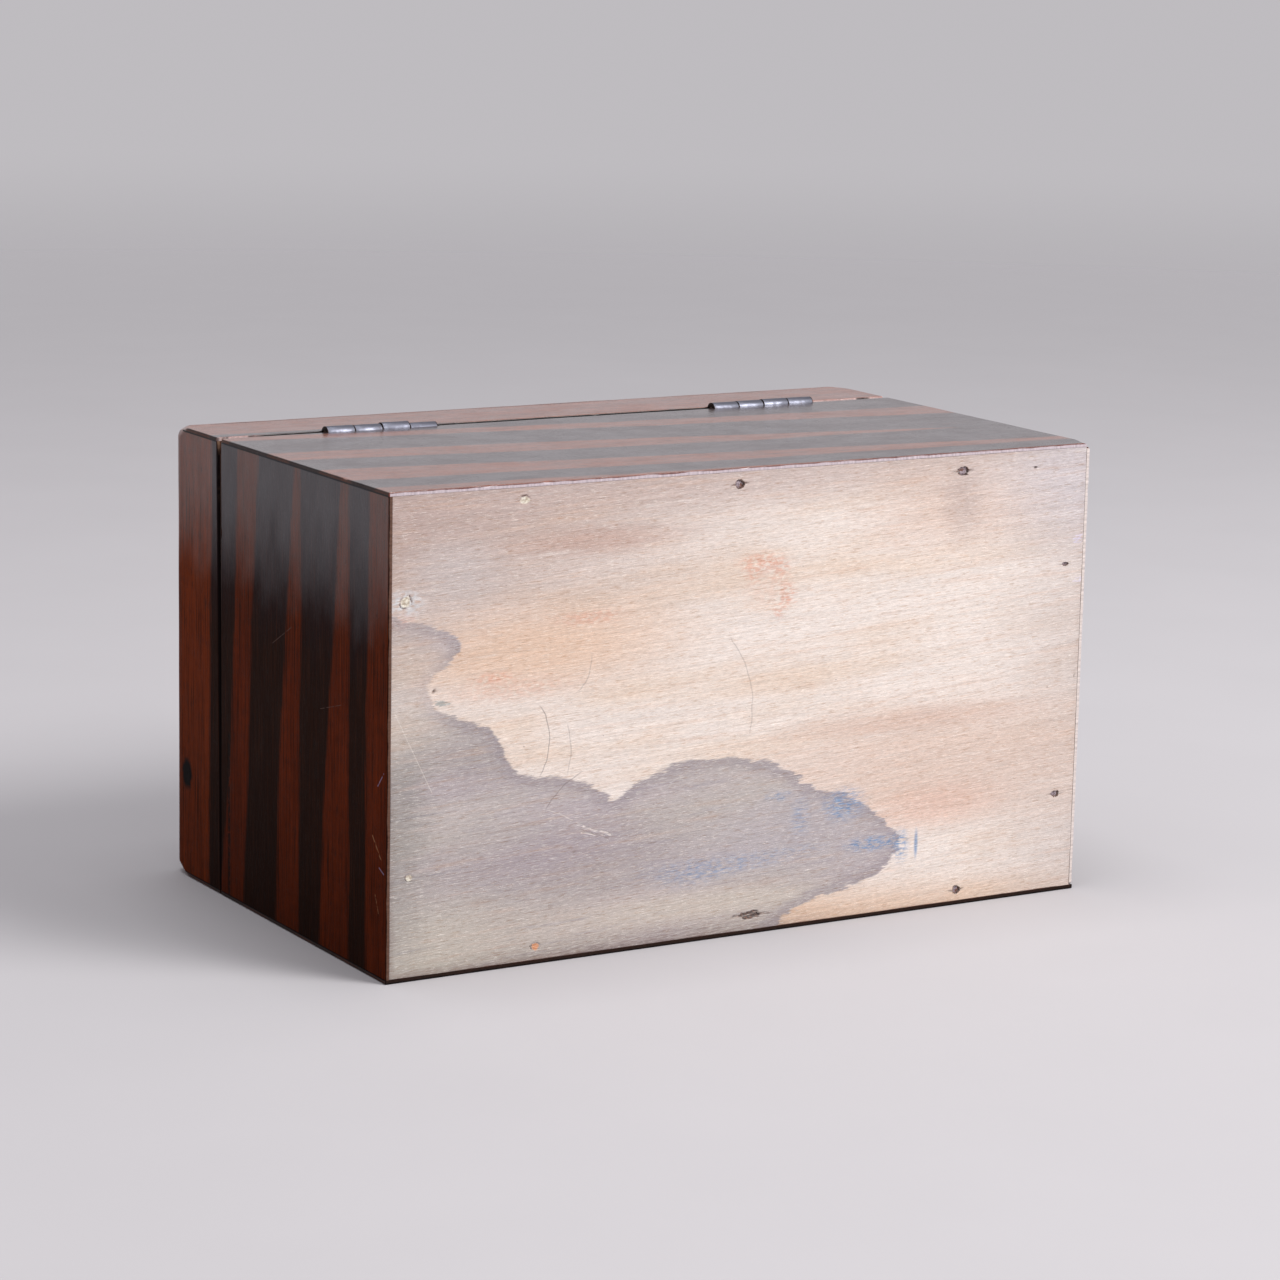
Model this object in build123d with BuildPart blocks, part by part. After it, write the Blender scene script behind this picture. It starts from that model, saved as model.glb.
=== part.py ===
from build123d import *
import os

# Two-compartment tea caddy: a striped veneered box with a hinged lid, a box lock, two
# foil-lined compartments and two lift-out inner lids.
# Millimetres. X is the width (right is +X), the front is -Y, Z is up.
# The origin is the centre of the underside.

# Whole box
width = 200.0
depth = 117.0
height = 122.0
body_height = 91.5  # rim of the body
front_gap = 0.8  # seam between body and lid at the front
back_gap = 2.8  # seam at the back, held open by the hinge barrels

# Carcass and veneer
board = 7.0
veneer = 1.0
bottom_thickness = 6.0
tongue = 3.0  # outer part of the front and back boards that laps over the end boards
worn_edge = 0.35  # rounding of the outer veneer edges

# Lid
top_board_thickness = 7.0
edging_size = 6.5
edging_radius = 5.8
lining_thickness = 1.5

# Compartments
facing_thickness = 3.0
facing_top = 83.0
divider_thickness = 5.0
divider_housing = 1.5  # depth of the groove in the facings
foil_thickness = 0.25
foil_top = 82.5

# Inner lids and knobs
inner_lid_thickness = 5.0
inner_lid_side_gap = 0.4
inner_lid_front_gap = 0.8
inner_lid_edge_radius = 0.8
knob_height = 9.0
knob_peg_radius = 2.0
knob_peg_length = 4.0
knob_foot = 4.6  # radius of the turned foot
knob_foot_height = 0.8
knob_cove = 3.0  # a point on the hollow between foot and neck
knob_cove_z = 1.5
knob_neck = 2.4
knob_flat = 1.6  # radius of the flat on top
knob_round = 3.1  # radius of the rounded rim

# Hinges
hinge_length = 31.5
hinge_centres = {"right": 55.0, "left": -59.5}
barrel_radius = 1.9
barrel_inset = 0.5  # how far the pin axis lies inside the back face
leaf_thickness = 0.9
leaf_inner_y = 51.5
knuckle_count = 4
knuckle_gap = 0.15
pin_radius = 0.9
pin_clearance = 0.05
barrel_clearance = 0.2
hinge_screw_spacing = 18.0
hinge_screw_y = 54.3

# Woodscrews
screw_head_radius = 1.7
screw_head_depth = 0.9
screw_shank_radius = 0.8
screw_tip_length = 1.5
screw_slot_width = 0.5
screw_slot_depth = 0.35
hinge_screw_length = 9.0
lock_screw_length = 5.5

# Nails that hold the bottom board: place of each head in X and Y
nail_places = [
    (64.2, 54.3), (4.9, 54.4), (-60.7, 53.6),
    (59.7, -54.3), (0.3, -53.9), (-63.2, -54.6),
    (95.7, 32.5), (93.8, -33.3),
    (-93.6, 27.7), (-93.2, -32.6),
]  # fmt: skip
nail_head_radius = 1.3
nail_head_depth = 0.8
nail_sink = 0.5  # the heads are punched below the surface
nail_shank_radius = 0.7
nail_length = 19.0
nail_point = 2.0

# Lock, let into the inside of the front board
lock_plate_half_width = 27.0
lock_plate_thickness = 0.9
lock_top_plate_thickness = 1.0
lock_top_plate_depth = 6.4
lock_case_half_width = 23.0
lock_bottom = 68.0
lock_chamber_depth = 4.5
lock_cap_thickness = 0.7
key_height = 75.0
key_pin_radius = 0.8
key_barrel_radius = 1.8  # round part of the keyhole
key_slot_width = 1.7
key_slot_length = 5.8
escutcheon_band = 1.2
lock_screw_x = 25.0
lock_screw_heights = (72.0, 86.0)

# Bolt and the staples it passes through
bolt_travel = 5.5
bar_bottom = 79.5
bar_top = 83.0
bar_left = -20.5
bar_length = 35.0
bar_thickness = 3.4
slide_clearance = 0.2
staple_spacing = 18.0
staple_thickness = 2.2
staple_width = 3.4
staple_bottom = 84.3
staple_eye_bottom = 85.7
staple_eye_top = 89.1
staple_eye_width = 1.8
post_width = 3.0
post_thickness = 2.0
prong_bottom = 86.2
prong_top = 88.6
prong_thickness = 1.3
prong_gap = 0.6  # between the tip of a drawn-back prong and its staple
spring_thickness = 0.4

# Link plate under the front rail of the lid
link_plate_half_width = 22.0
link_plate_thickness = 1.0
link_screw_x = 17.0

# Worked-out places
half_width = width / 2
half_depth = depth / 2
board_x = half_width - veneer  # outer faces of the boards
board_y = half_depth - veneer
inner_x = board_x - board  # inner faces of the boards
inner_y = board_y - board
lap_y = board_y - tongue
board_top = height - veneer
ledge_z = height - edging_size  # underside of the edging strips
rails_top = board_top - top_board_thickness
hinge_y = half_depth - barrel_inset
hinge_z = body_height + back_gap / 2
lid_leaf_z = body_height + back_gap  # underside of the lid leaves
front_rim_z = body_height + front_gap
rim_slope = (back_gap - front_gap) / depth
inner_lid_top = facing_top + inner_lid_thickness
knob_round_z = knob_height - knob_round
plate_y = -inner_y - lock_plate_thickness  # front of the lock's back plate
cap_y = plate_y - lock_chamber_depth  # back of the lock's cap
chamber_mid_y = (plate_y + cap_y) / 2
lock_plate_bottom_z = body_height - lock_top_plate_thickness
link_z = front_rim_z + rim_slope * (half_depth + chamber_mid_y)  # level with the rim
clear = 1.0  # how far cutting shapes run past a face


def block(x0, x1, y0, y1, z0, z1, mode=Mode.ADD):
    """A square block between two corners, added to the part or cut from it."""
    with BuildSketch(Plane.XY.offset(z0)) as outline:
        with Locations(((x0 + x1) / 2, (y0 + y1) / 2)):
            Rectangle(x1 - x0, y1 - y0)
    extrude(outline.sketch, amount=z1 - z0, mode=mode)


def upright_rod(places, radius, z0, z1, mode=Mode.ADD):
    """Round rods or holes along Z at each place."""
    with BuildSketch(Plane.XY.offset(z0)) as outline:
        with Locations(*places):
            Circle(radius)
    extrude(outline.sketch, amount=z1 - z0, mode=mode)


def barrel_rod(radius, x0, x1, mode=Mode.ADD):
    """A rod along X on the hinge axis."""
    with BuildSketch(Plane.YZ.offset(x0)) as outline:
        with Locations((hinge_y, hinge_z)):
            Circle(radius)
    extrude(outline.sketch, amount=x1 - x0, mode=mode)


def cross_rod(x, z, radius, y0, y1, mode=Mode.ADD):
    """A rod along Y, from y0 in front to y1 behind."""
    with BuildSketch(Plane.XZ.offset(-y1)) as outline:
        with Locations((x, z)):
            Circle(radius)
    extrude(outline.sketch, amount=y1 - y0, mode=mode)


def cut_below_lid_rim():
    """Trim a lid piece to the rim, which rises slightly from front to back."""
    front_y = -half_depth - clear
    back_y = half_depth + clear
    with BuildSketch(Plane.YZ.offset(-width)) as under_rim:
        with BuildLine():
            Polyline(
                (front_y, body_height - clear),
                (back_y, body_height - clear),
                (back_y, lid_leaf_z + rim_slope * clear),
                (front_y, front_rim_z - rim_slope * clear),
                close=True,
            )
        make_face()
    extrude(under_rim.sketch, amount=2 * width, mode=Mode.SUBTRACT)


def hinge_screw_places():
    """X and Y of the screws in one pair of leaves."""
    places = []
    for centre in hinge_centres.values():
        for side in (-0.5, 0.5):
            places.append((centre + side * hinge_screw_spacing, hinge_screw_y))
    return places


def hinge_pockets(leaf_z0, leaf_z1, screw_z0, screw_z1):
    """Cut the leaf recesses, barrel notches and screw holes of both hinges."""
    for centre in hinge_centres.values():
        x0 = centre - hinge_length / 2
        x1 = centre + hinge_length / 2
        block(x0, x1, leaf_inner_y, hinge_y, leaf_z0, leaf_z1, Mode.SUBTRACT)
        barrel_rod(
            barrel_radius + barrel_clearance, x0 - barrel_clearance, x1 + barrel_clearance, Mode.SUBTRACT
        )
    upright_rod(hinge_screw_places(), screw_shank_radius, screw_z0, screw_z1, Mode.SUBTRACT)


def end_lapped_board(side, z0, z1):
    """A front (-1) or back (+1) board with a tongue that laps over the end boards."""
    inner = side * inner_y
    outer = side * board_y
    lap = side * lap_y
    block(-inner_x, inner_x, min(inner, outer), max(inner, outer), z0, z1)
    block(-board_x, board_x, min(lap, outer), max(lap, outer), z0, z1)


def keyhole_outline(extra):
    """Keyhole: a round hole with a slot below it, grown by extra on every side."""
    Circle(key_barrel_radius + extra)
    slot_half = key_slot_width / 2 + extra
    slot_end = key_slot_length + extra
    with Locations((0, -slot_end / 2)):
        Rectangle(2 * slot_half, slot_end)


def keyhole(extra, y0, y1, mode=Mode.ADD):
    """The keyhole outline run from y0 in front to y1 behind."""
    with BuildSketch(Plane((0, y1, key_height), x_dir=(1, 0, 0), z_dir=(0, -1, 0))) as outline:
        keyhole_outline(extra)
    extrude(outline.sketch, amount=y1 - y0, mode=mode)


def woodscrew(length):
    """A slotted countersunk screw: the head's face is at the origin, the point is down."""
    with BuildPart() as screw:
        with BuildSketch(Plane.XZ):
            with BuildLine():
                Polyline(
                    (0, 0),
                    (screw_head_radius, 0),
                    (screw_shank_radius, -screw_head_depth),
                    (screw_shank_radius, screw_tip_length - length),
                    (0, -length),
                    close=True,
                )
            make_face()
        revolve(axis=Axis.Z)
        with Locations((0, 0, -screw_slot_depth / 2)):
            Box(2 * screw_head_radius, screw_slot_width, screw_slot_depth, mode=Mode.SUBTRACT)
    return screw.part


def countersinks(places, face_z, down):
    """Cut conical seats for screw heads whose faces lie at face_z."""
    for x, y in places:
        far_z = face_z - screw_head_depth if down else face_z + screw_head_depth
        low, high = min(face_z, far_z), max(face_z, far_z)
        low_radius = screw_shank_radius if down else screw_head_radius
        high_radius = screw_head_radius if down else screw_shank_radius
        with Locations((x, y, (low + high) / 2)):
            Cone(low_radius, high_radius, high - low, mode=Mode.SUBTRACT)


def finish(part, name):
    """Label a finished piece and write it."""
    part.label = name
    export_step(part, "parts/" + name + ".step")


os.makedirs("parts", exist_ok=True)

# ---- Body carcass -------------------------------------------------------------------

with BuildPart() as bottom_board:
    block(-board_x, board_x, -board_y, board_y, 0, bottom_thickness)
    upright_rod(nail_places, nail_head_radius, 0, nail_sink + nail_head_depth, Mode.SUBTRACT)
    upright_rod(nail_places, nail_shank_radius, 0, bottom_thickness, Mode.SUBTRACT)
finish(bottom_board.part, "bottom_board")

with BuildPart() as nail:
    with BuildSketch(Plane.XZ):
        with BuildLine():
            Polyline(
                (0, nail_sink),
                (nail_head_radius, nail_sink),
                (nail_head_radius, nail_sink + nail_head_depth),
                (nail_shank_radius, nail_sink + nail_head_depth),
                (nail_shank_radius, nail_length - nail_point),
                (0, nail_length),
                close=True,
            )
        make_face()
    revolve(axis=Axis.Z)

with BuildPart() as bottom_nails:
    with Locations(*nail_places):
        add(nail.part)
finish(bottom_nails.part, "bottom_nails")

nail_hole_top = nail_length + 0.2

with BuildPart() as front_board:
    end_lapped_board(-1, bottom_thickness, body_height)
    upright_rod(nail_places, nail_shank_radius, 0, nail_hole_top, Mode.SUBTRACT)
    # mortise for the lock, from the inside
    block(
        -lock_case_half_width, lock_case_half_width, cap_y - lock_cap_thickness, -inner_y,
        lock_bottom, body_height, Mode.SUBTRACT,
    )  # fmt: skip
    block(
        -lock_plate_half_width, lock_plate_half_width, plate_y, -inner_y,
        lock_bottom, body_height, Mode.SUBTRACT,
    )  # fmt: skip
    block(
        -lock_plate_half_width, lock_plate_half_width, -inner_y - lock_top_plate_depth, -inner_y,
        lock_plate_bottom_z, body_height, Mode.SUBTRACT,
    )  # fmt: skip
    keyhole(0, -half_depth, -inner_y, Mode.SUBTRACT)
    for screw_x in (-lock_screw_x, lock_screw_x):
        for screw_z in lock_screw_heights:
            cross_rod(
                screw_x, screw_z, screw_shank_radius,
                -inner_y - lock_screw_length, -inner_y, Mode.SUBTRACT,
            )  # fmt: skip
finish(front_board.part, "front_board")

with BuildPart() as back_board:
    end_lapped_board(1, bottom_thickness, body_height)
    upright_rod(nail_places, nail_shank_radius, 0, nail_hole_top, Mode.SUBTRACT)
    hinge_pockets(
        body_height - leaf_thickness, body_height, body_height - hinge_screw_length, body_height
    )
finish(back_board.part, "back_board")

with BuildPart() as right_end_board:
    block(inner_x, board_x, -lap_y, lap_y, bottom_thickness, body_height)
    upright_rod(nail_places, nail_shank_radius, 0, nail_hole_top, Mode.SUBTRACT)
finish(right_end_board.part, "right_end_board")

with BuildPart() as left_end_board:
    block(-board_x, -inner_x, -lap_y, lap_y, bottom_thickness, body_height)
    upright_rod(nail_places, nail_shank_radius, 0, nail_hole_top, Mode.SUBTRACT)
finish(left_end_board.part, "left_end_board")

# ---- Body veneers: front and back sheets lap over the end sheets ----------------------

with BuildPart() as front_veneer:
    block(-half_width, half_width, -half_depth, -board_y, 0, body_height)
    fillet(front_veneer.edges().filter_by(Axis.Z).group_by(Axis.Y)[0], worn_edge)
    keyhole(escutcheon_band, -half_depth, -board_y, Mode.SUBTRACT)
finish(front_veneer.part, "front_veneer")

with BuildPart() as back_veneer:
    block(-half_width, half_width, board_y, half_depth, 0, body_height)
    fillet(back_veneer.edges().filter_by(Axis.Z).group_by(Axis.Y)[-1], worn_edge)
    for centre in hinge_centres.values():
        barrel_rod(
            barrel_radius + barrel_clearance,
            centre - hinge_length / 2 - barrel_clearance,
            centre + hinge_length / 2 + barrel_clearance,
            Mode.SUBTRACT,
        )
        block(
            centre - hinge_length / 2, centre + hinge_length / 2, leaf_inner_y, hinge_y,
            body_height - leaf_thickness, body_height, Mode.SUBTRACT,
        )  # fmt: skip
finish(back_veneer.part, "back_veneer")

with BuildPart() as right_end_veneer:
    block(board_x, half_width, -board_y, board_y, 0, body_height)
finish(right_end_veneer.part, "right_end_veneer")

with BuildPart() as left_end_veneer:
    block(-half_width, -board_x, -board_y, board_y, 0, body_height)
finish(left_end_veneer.part, "left_end_veneer")

with BuildPart() as escutcheon:
    keyhole(escutcheon_band, -half_depth, -board_y)
    keyhole(0, -half_depth, -board_y, Mode.SUBTRACT)
finish(escutcheon.part, "escutcheon")

# ---- Compartments ---------------------------------------------------------------------

facing_y = inner_y - facing_thickness  # inner faces of the facings
facing_x = inner_x - facing_thickness
divider_half = divider_thickness / 2

with BuildPart() as front_facing:
    block(-inner_x, inner_x, -inner_y, -facing_y, bottom_thickness, facing_top)
    block(
        -divider_half, divider_half, -facing_y - divider_housing, -facing_y,
        bottom_thickness, facing_top, Mode.SUBTRACT,
    )  # fmt: skip
finish(front_facing.part, "front_facing")

with BuildPart() as back_facing:
    block(-inner_x, inner_x, facing_y, inner_y, bottom_thickness, facing_top)
    block(
        -divider_half, divider_half, facing_y, facing_y + divider_housing,
        bottom_thickness, facing_top, Mode.SUBTRACT,
    )  # fmt: skip
finish(back_facing.part, "back_facing")

with BuildPart() as right_facing:
    block(facing_x, inner_x, -facing_y, facing_y, bottom_thickness, facing_top)
finish(right_facing.part, "right_facing")

with BuildPart() as left_facing:
    block(-inner_x, -facing_x, -facing_y, facing_y, bottom_thickness, facing_top)
finish(left_facing.part, "left_facing")

with BuildPart() as divider:
    housed_y = facing_y + divider_housing
    block(-divider_half, divider_half, -housed_y, housed_y, bottom_thickness, facing_top)
finish(divider.part, "divider")

with BuildPart() as right_foil:
    block(divider_half, facing_x, -facing_y, facing_y, bottom_thickness, foil_top)
    block(
        divider_half + foil_thickness, facing_x - foil_thickness,
        -facing_y + foil_thickness, facing_y - foil_thickness,
        bottom_thickness + foil_thickness, foil_top, Mode.SUBTRACT,
    )  # fmt: skip
finish(right_foil.part, "right_foil")

with BuildPart() as left_foil:
    mirror(right_foil.part, about=Plane.YZ)
finish(left_foil.part, "left_foil")

# ---- Inner lids -----------------------------------------------------------------------

lid_x0 = inner_lid_side_gap
lid_x1 = inner_x - inner_lid_side_gap
lid_y = inner_y - inner_lid_front_gap
knob_x = (lid_x0 + lid_x1) / 2

with BuildPart() as right_inner_lid:
    block(lid_x0, lid_x1, -lid_y, lid_y, facing_top, inner_lid_top)
    fillet(right_inner_lid.faces().sort_by(Axis.Z)[-1].edges(), inner_lid_edge_radius)
    upright_rod(
        [(knob_x, 0)], knob_peg_radius, inner_lid_top - knob_peg_length, inner_lid_top, Mode.SUBTRACT
    )
finish(right_inner_lid.part, "right_inner_lid")

with BuildPart() as left_inner_lid:
    mirror(right_inner_lid.part, about=Plane.YZ)
finish(left_inner_lid.part, "left_inner_lid")

with BuildPart() as right_knob:
    cove_top_z = knob_round_z - (knob_round**2 - (knob_neck - knob_flat) ** 2) ** 0.5
    with BuildSketch(Plane((knob_x, 0, inner_lid_top), x_dir=(1, 0, 0), z_dir=(0, -1, 0))):
        with BuildLine():
            Polyline(
                (0, -knob_peg_length),
                (knob_peg_radius, -knob_peg_length),
                (knob_peg_radius, 0),
                (knob_foot, 0),
                (knob_foot, knob_foot_height),
            )
            ThreePointArc(
                (knob_foot, knob_foot_height), (knob_cove, knob_cove_z), (knob_neck, cove_top_z)
            )
            ThreePointArc(
                (knob_neck, cove_top_z),
                (knob_flat + knob_round, knob_round_z),
                (knob_flat, knob_height),
            )
            Line((knob_flat, knob_height), (0, knob_height))
            Line((0, knob_height), (0, -knob_peg_length))
        make_face()
    revolve(axis=Axis((knob_x, 0, 0), (0, 0, 1)))
finish(right_knob.part, "right_knob")

with BuildPart() as left_knob:
    mirror(right_knob.part, about=Plane.YZ)
finish(left_knob.part, "left_knob")

# ---- Lid carcass, lapped like the body, with a top board and solid rounded edging -----

link_pocket_y0 = -inner_y - lock_top_plate_depth
link_pocket_y1 = -inner_y - slide_clearance
link_screw_places = [(-link_screw_x, chamber_mid_y), (link_screw_x, chamber_mid_y)]

with BuildPart() as lid_front_rail:
    end_lapped_board(-1, body_height, rails_top)
    cut_below_lid_rim()
    block(
        -link_plate_half_width, link_plate_half_width, link_pocket_y0, link_pocket_y1,
        body_height, link_z + link_plate_thickness, Mode.SUBTRACT,
    )  # fmt: skip
    upright_rod(
        link_screw_places, screw_shank_radius, link_z, link_z + hinge_screw_length, Mode.SUBTRACT
    )
finish(lid_front_rail.part, "lid_front_rail")

with BuildPart() as lid_back_rail:
    end_lapped_board(1, body_height, rails_top)
    cut_below_lid_rim()
    hinge_pockets(
        body_height, lid_leaf_z + leaf_thickness, lid_leaf_z, lid_leaf_z + hinge_screw_length
    )
finish(lid_back_rail.part, "lid_back_rail")

with BuildPart() as lid_right_rail:
    block(inner_x, board_x, -lap_y, lap_y, body_height, rails_top)
    cut_below_lid_rim()
finish(lid_right_rail.part, "lid_right_rail")

with BuildPart() as lid_left_rail:
    mirror(lid_right_rail.part, about=Plane.YZ)
finish(lid_left_rail.part, "lid_left_rail")

edging_inner_x = half_width - edging_size
edging_inner_y = half_depth - edging_size

with BuildPart() as lid_top_board:
    block(-board_x, board_x, -board_y, board_y, rails_top, ledge_z)
    block(-edging_inner_x, edging_inner_x, -edging_inner_y, edging_inner_y, ledge_z, board_top)
finish(lid_top_board.part, "lid_top_board")

with BuildPart() as lid_top_veneer:
    block(-edging_inner_x, edging_inner_x, -edging_inner_y, edging_inner_y, board_top, height)
finish(lid_top_veneer.part, "lid_top_veneer")

with BuildPart() as lid_front_veneer:
    block(-half_width, half_width, -half_depth, -board_y, body_height, ledge_z)
    fillet(lid_front_veneer.edges().filter_by(Axis.Z).group_by(Axis.Y)[0], worn_edge)
    cut_below_lid_rim()
finish(lid_front_veneer.part, "lid_front_veneer")

with BuildPart() as lid_back_veneer:
    block(-half_width, half_width, board_y, half_depth, body_height, ledge_z)
    fillet(lid_back_veneer.edges().filter_by(Axis.Z).group_by(Axis.Y)[-1], worn_edge)
    cut_below_lid_rim()
    for centre in hinge_centres.values():
        barrel_rod(
            barrel_radius + barrel_clearance,
            centre - hinge_length / 2 - barrel_clearance,
            centre + hinge_length / 2 + barrel_clearance,
            Mode.SUBTRACT,
        )
        block(
            centre - hinge_length / 2, centre + hinge_length / 2, leaf_inner_y, hinge_y,
            body_height, lid_leaf_z + leaf_thickness, Mode.SUBTRACT,
        )  # fmt: skip
finish(lid_back_veneer.part, "lid_back_veneer")

with BuildPart() as lid_right_veneer:
    block(board_x, half_width, -board_y, board_y, body_height, ledge_z)
    cut_below_lid_rim()
finish(lid_right_veneer.part, "lid_right_veneer")

with BuildPart() as lid_left_veneer:
    mirror(lid_right_veneer.part, about=Plane.YZ)
finish(lid_left_veneer.part, "lid_left_veneer")


def edging_strip(outward, reach, half_run):
    """A mitred strip with a rounded top outer edge, on the side that outward points to."""
    outward = Vector(*outward)
    across = Plane((0, 0, 0), x_dir=outward, z_dir=outward.cross(Vector(0, 0, 1)))
    with BuildSketch(across) as profile:
        with BuildLine():
            Line((reach - edging_radius, height), (reach - edging_size, height))
            Line((reach - edging_size, height), (reach - edging_size, ledge_z))
            Line((reach - edging_size, ledge_z), (reach, ledge_z))
            Line((reach, ledge_z), (reach, height - edging_radius))
            RadiusArc((reach, height - edging_radius), (reach - edging_radius, height), -edging_radius)
        make_face()
    extrude(profile.sketch, amount=half_run, both=True)
    seen_from_above = Plane((0, 0, ledge_z - clear), x_dir=outward, z_dir=(0, 0, 1))
    with BuildSketch(seen_from_above) as mitres:
        with BuildLine():
            Polyline(
                (reach - edging_size, edging_size - half_run),
                (reach, -half_run),
                (reach, half_run),
                (reach - edging_size, half_run - edging_size),
                close=True,
            )
        make_face()
    extrude(mitres.sketch, amount=edging_size + 2 * clear, mode=Mode.INTERSECT)


with BuildPart() as lid_front_edging:
    edging_strip((0, -1, 0), half_depth, half_width)
finish(lid_front_edging.part, "lid_front_edging")

with BuildPart() as lid_back_edging:
    edging_strip((0, 1, 0), half_depth, half_width)
finish(lid_back_edging.part, "lid_back_edging")

with BuildPart() as lid_right_edging:
    edging_strip((1, 0, 0), half_width, half_depth)
finish(lid_right_edging.part, "lid_right_edging")

with BuildPart() as lid_left_edging:
    edging_strip((-1, 0, 0), half_width, half_depth)
finish(lid_left_edging.part, "lid_left_edging")

with BuildPart() as lid_lining:
    lining_x = inner_x - 0.5
    lining_y = inner_y - 0.5
    block(-lining_x, lining_x, -lining_y, lining_y, rails_top - lining_thickness, rails_top)
finish(lid_lining.part, "lid_lining")

# ---- Hinges ----------------------------------------------------------------------------


def knuckle_spans(centre):
    """Start and end of each knuckle along X, from the right end of the barrel."""
    pitch = hinge_length / knuckle_count
    right_end = centre + hinge_length / 2
    spans = []
    for index in range(knuckle_count):
        x1 = right_end - index * pitch - knuckle_gap / 2
        spans.append((x1 - pitch + knuckle_gap, x1))
    return spans


def hinge_leaf(centre, plate_z0, own_first, bore, screw_face_z, down):
    """One leaf: a plate with every second knuckle rolled on its edge."""
    x0 = centre - hinge_length / 2
    x1 = centre + hinge_length / 2
    block(x0, x1, leaf_inner_y, hinge_y, plate_z0, plate_z0 + leaf_thickness)
    spans = knuckle_spans(centre)
    for index, (k0, k1) in enumerate(spans):
        if index % 2 != own_first:
            barrel_rod(
                barrel_radius + knuckle_gap, k0 - knuckle_gap, k1 + knuckle_gap, Mode.SUBTRACT
            )
    for index, (k0, k1) in enumerate(spans):
        if index % 2 == own_first:
            barrel_rod(barrel_radius, k0, k1)
    barrel_rod(bore, x0 - clear, x1 + clear, Mode.SUBTRACT)
    places = [(x, y) for x, y in hinge_screw_places() if abs(x - centre) < hinge_length / 2]
    upright_rod(places, screw_shank_radius, plate_z0, plate_z0 + leaf_thickness, Mode.SUBTRACT)
    countersinks(places, screw_face_z, down)


body_leaf_z = body_height - leaf_thickness

with BuildPart() as right_hinge_body_leaf:
    hinge_leaf(hinge_centres["right"], body_leaf_z, 0, pin_radius, body_height, True)
finish(right_hinge_body_leaf.part, "right_hinge_body_leaf")

with BuildPart() as right_hinge_lid_leaf:
    hinge_leaf(hinge_centres["right"], lid_leaf_z, 1, pin_radius + pin_clearance, lid_leaf_z, False)
finish(right_hinge_lid_leaf.part, "right_hinge_lid_leaf")

with BuildPart() as right_hinge_pin:
    right_span = knuckle_spans(hinge_centres["right"])
    barrel_rod(pin_radius, right_span[-1][0], right_span[0][1])
finish(right_hinge_pin.part, "right_hinge_pin")

with BuildPart() as left_hinge_body_leaf:
    hinge_leaf(hinge_centres["left"], body_leaf_z, 0, pin_radius, body_height, True)
finish(left_hinge_body_leaf.part, "left_hinge_body_leaf")

with BuildPart() as left_hinge_lid_leaf:
    hinge_leaf(hinge_centres["left"], lid_leaf_z, 1, pin_radius + pin_clearance, lid_leaf_z, False)
finish(left_hinge_lid_leaf.part, "left_hinge_lid_leaf")

with BuildPart() as left_hinge_pin:
    left_span = knuckle_spans(hinge_centres["left"])
    barrel_rod(pin_radius, left_span[-1][0], left_span[0][1])
finish(left_hinge_pin.part, "left_hinge_pin")

hinge_screw = woodscrew(hinge_screw_length)

with BuildPart() as hinge_body_screws:
    with Locations(*[(x, y, body_height) for x, y in hinge_screw_places()]):
        add(hinge_screw)
finish(hinge_body_screws.part, "hinge_body_screws")

with BuildPart() as hinge_lid_screws:
    with Locations(*[(x, y, lid_leaf_z) for x, y in hinge_screw_places()]):
        add(hinge_screw, rotation=(180, 0, 0))
finish(hinge_lid_screws.part, "hinge_lid_screws")

# ---- Lock -------------------------------------------------------------------------------

staple_centres = (-staple_spacing / 2, staple_spacing / 2)
staple_y0 = chamber_mid_y - staple_width / 2
staple_y1 = chamber_mid_y + staple_width / 2
slot_slack = 0.4
prong_length = bolt_travel - prong_gap + slide_clearance
post_lefts = [
    centre - staple_thickness / 2 - prong_gap - prong_length - post_width
    for centre in staple_centres
]
upper_left = post_lefts[0] - 4 * slide_clearance
upper_right = post_lefts[1] + post_width + prong_length + bolt_travel + 5 * slide_clearance
key_chamber_half = 6.5
key_chamber_bottom = key_height - key_slot_length

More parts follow.
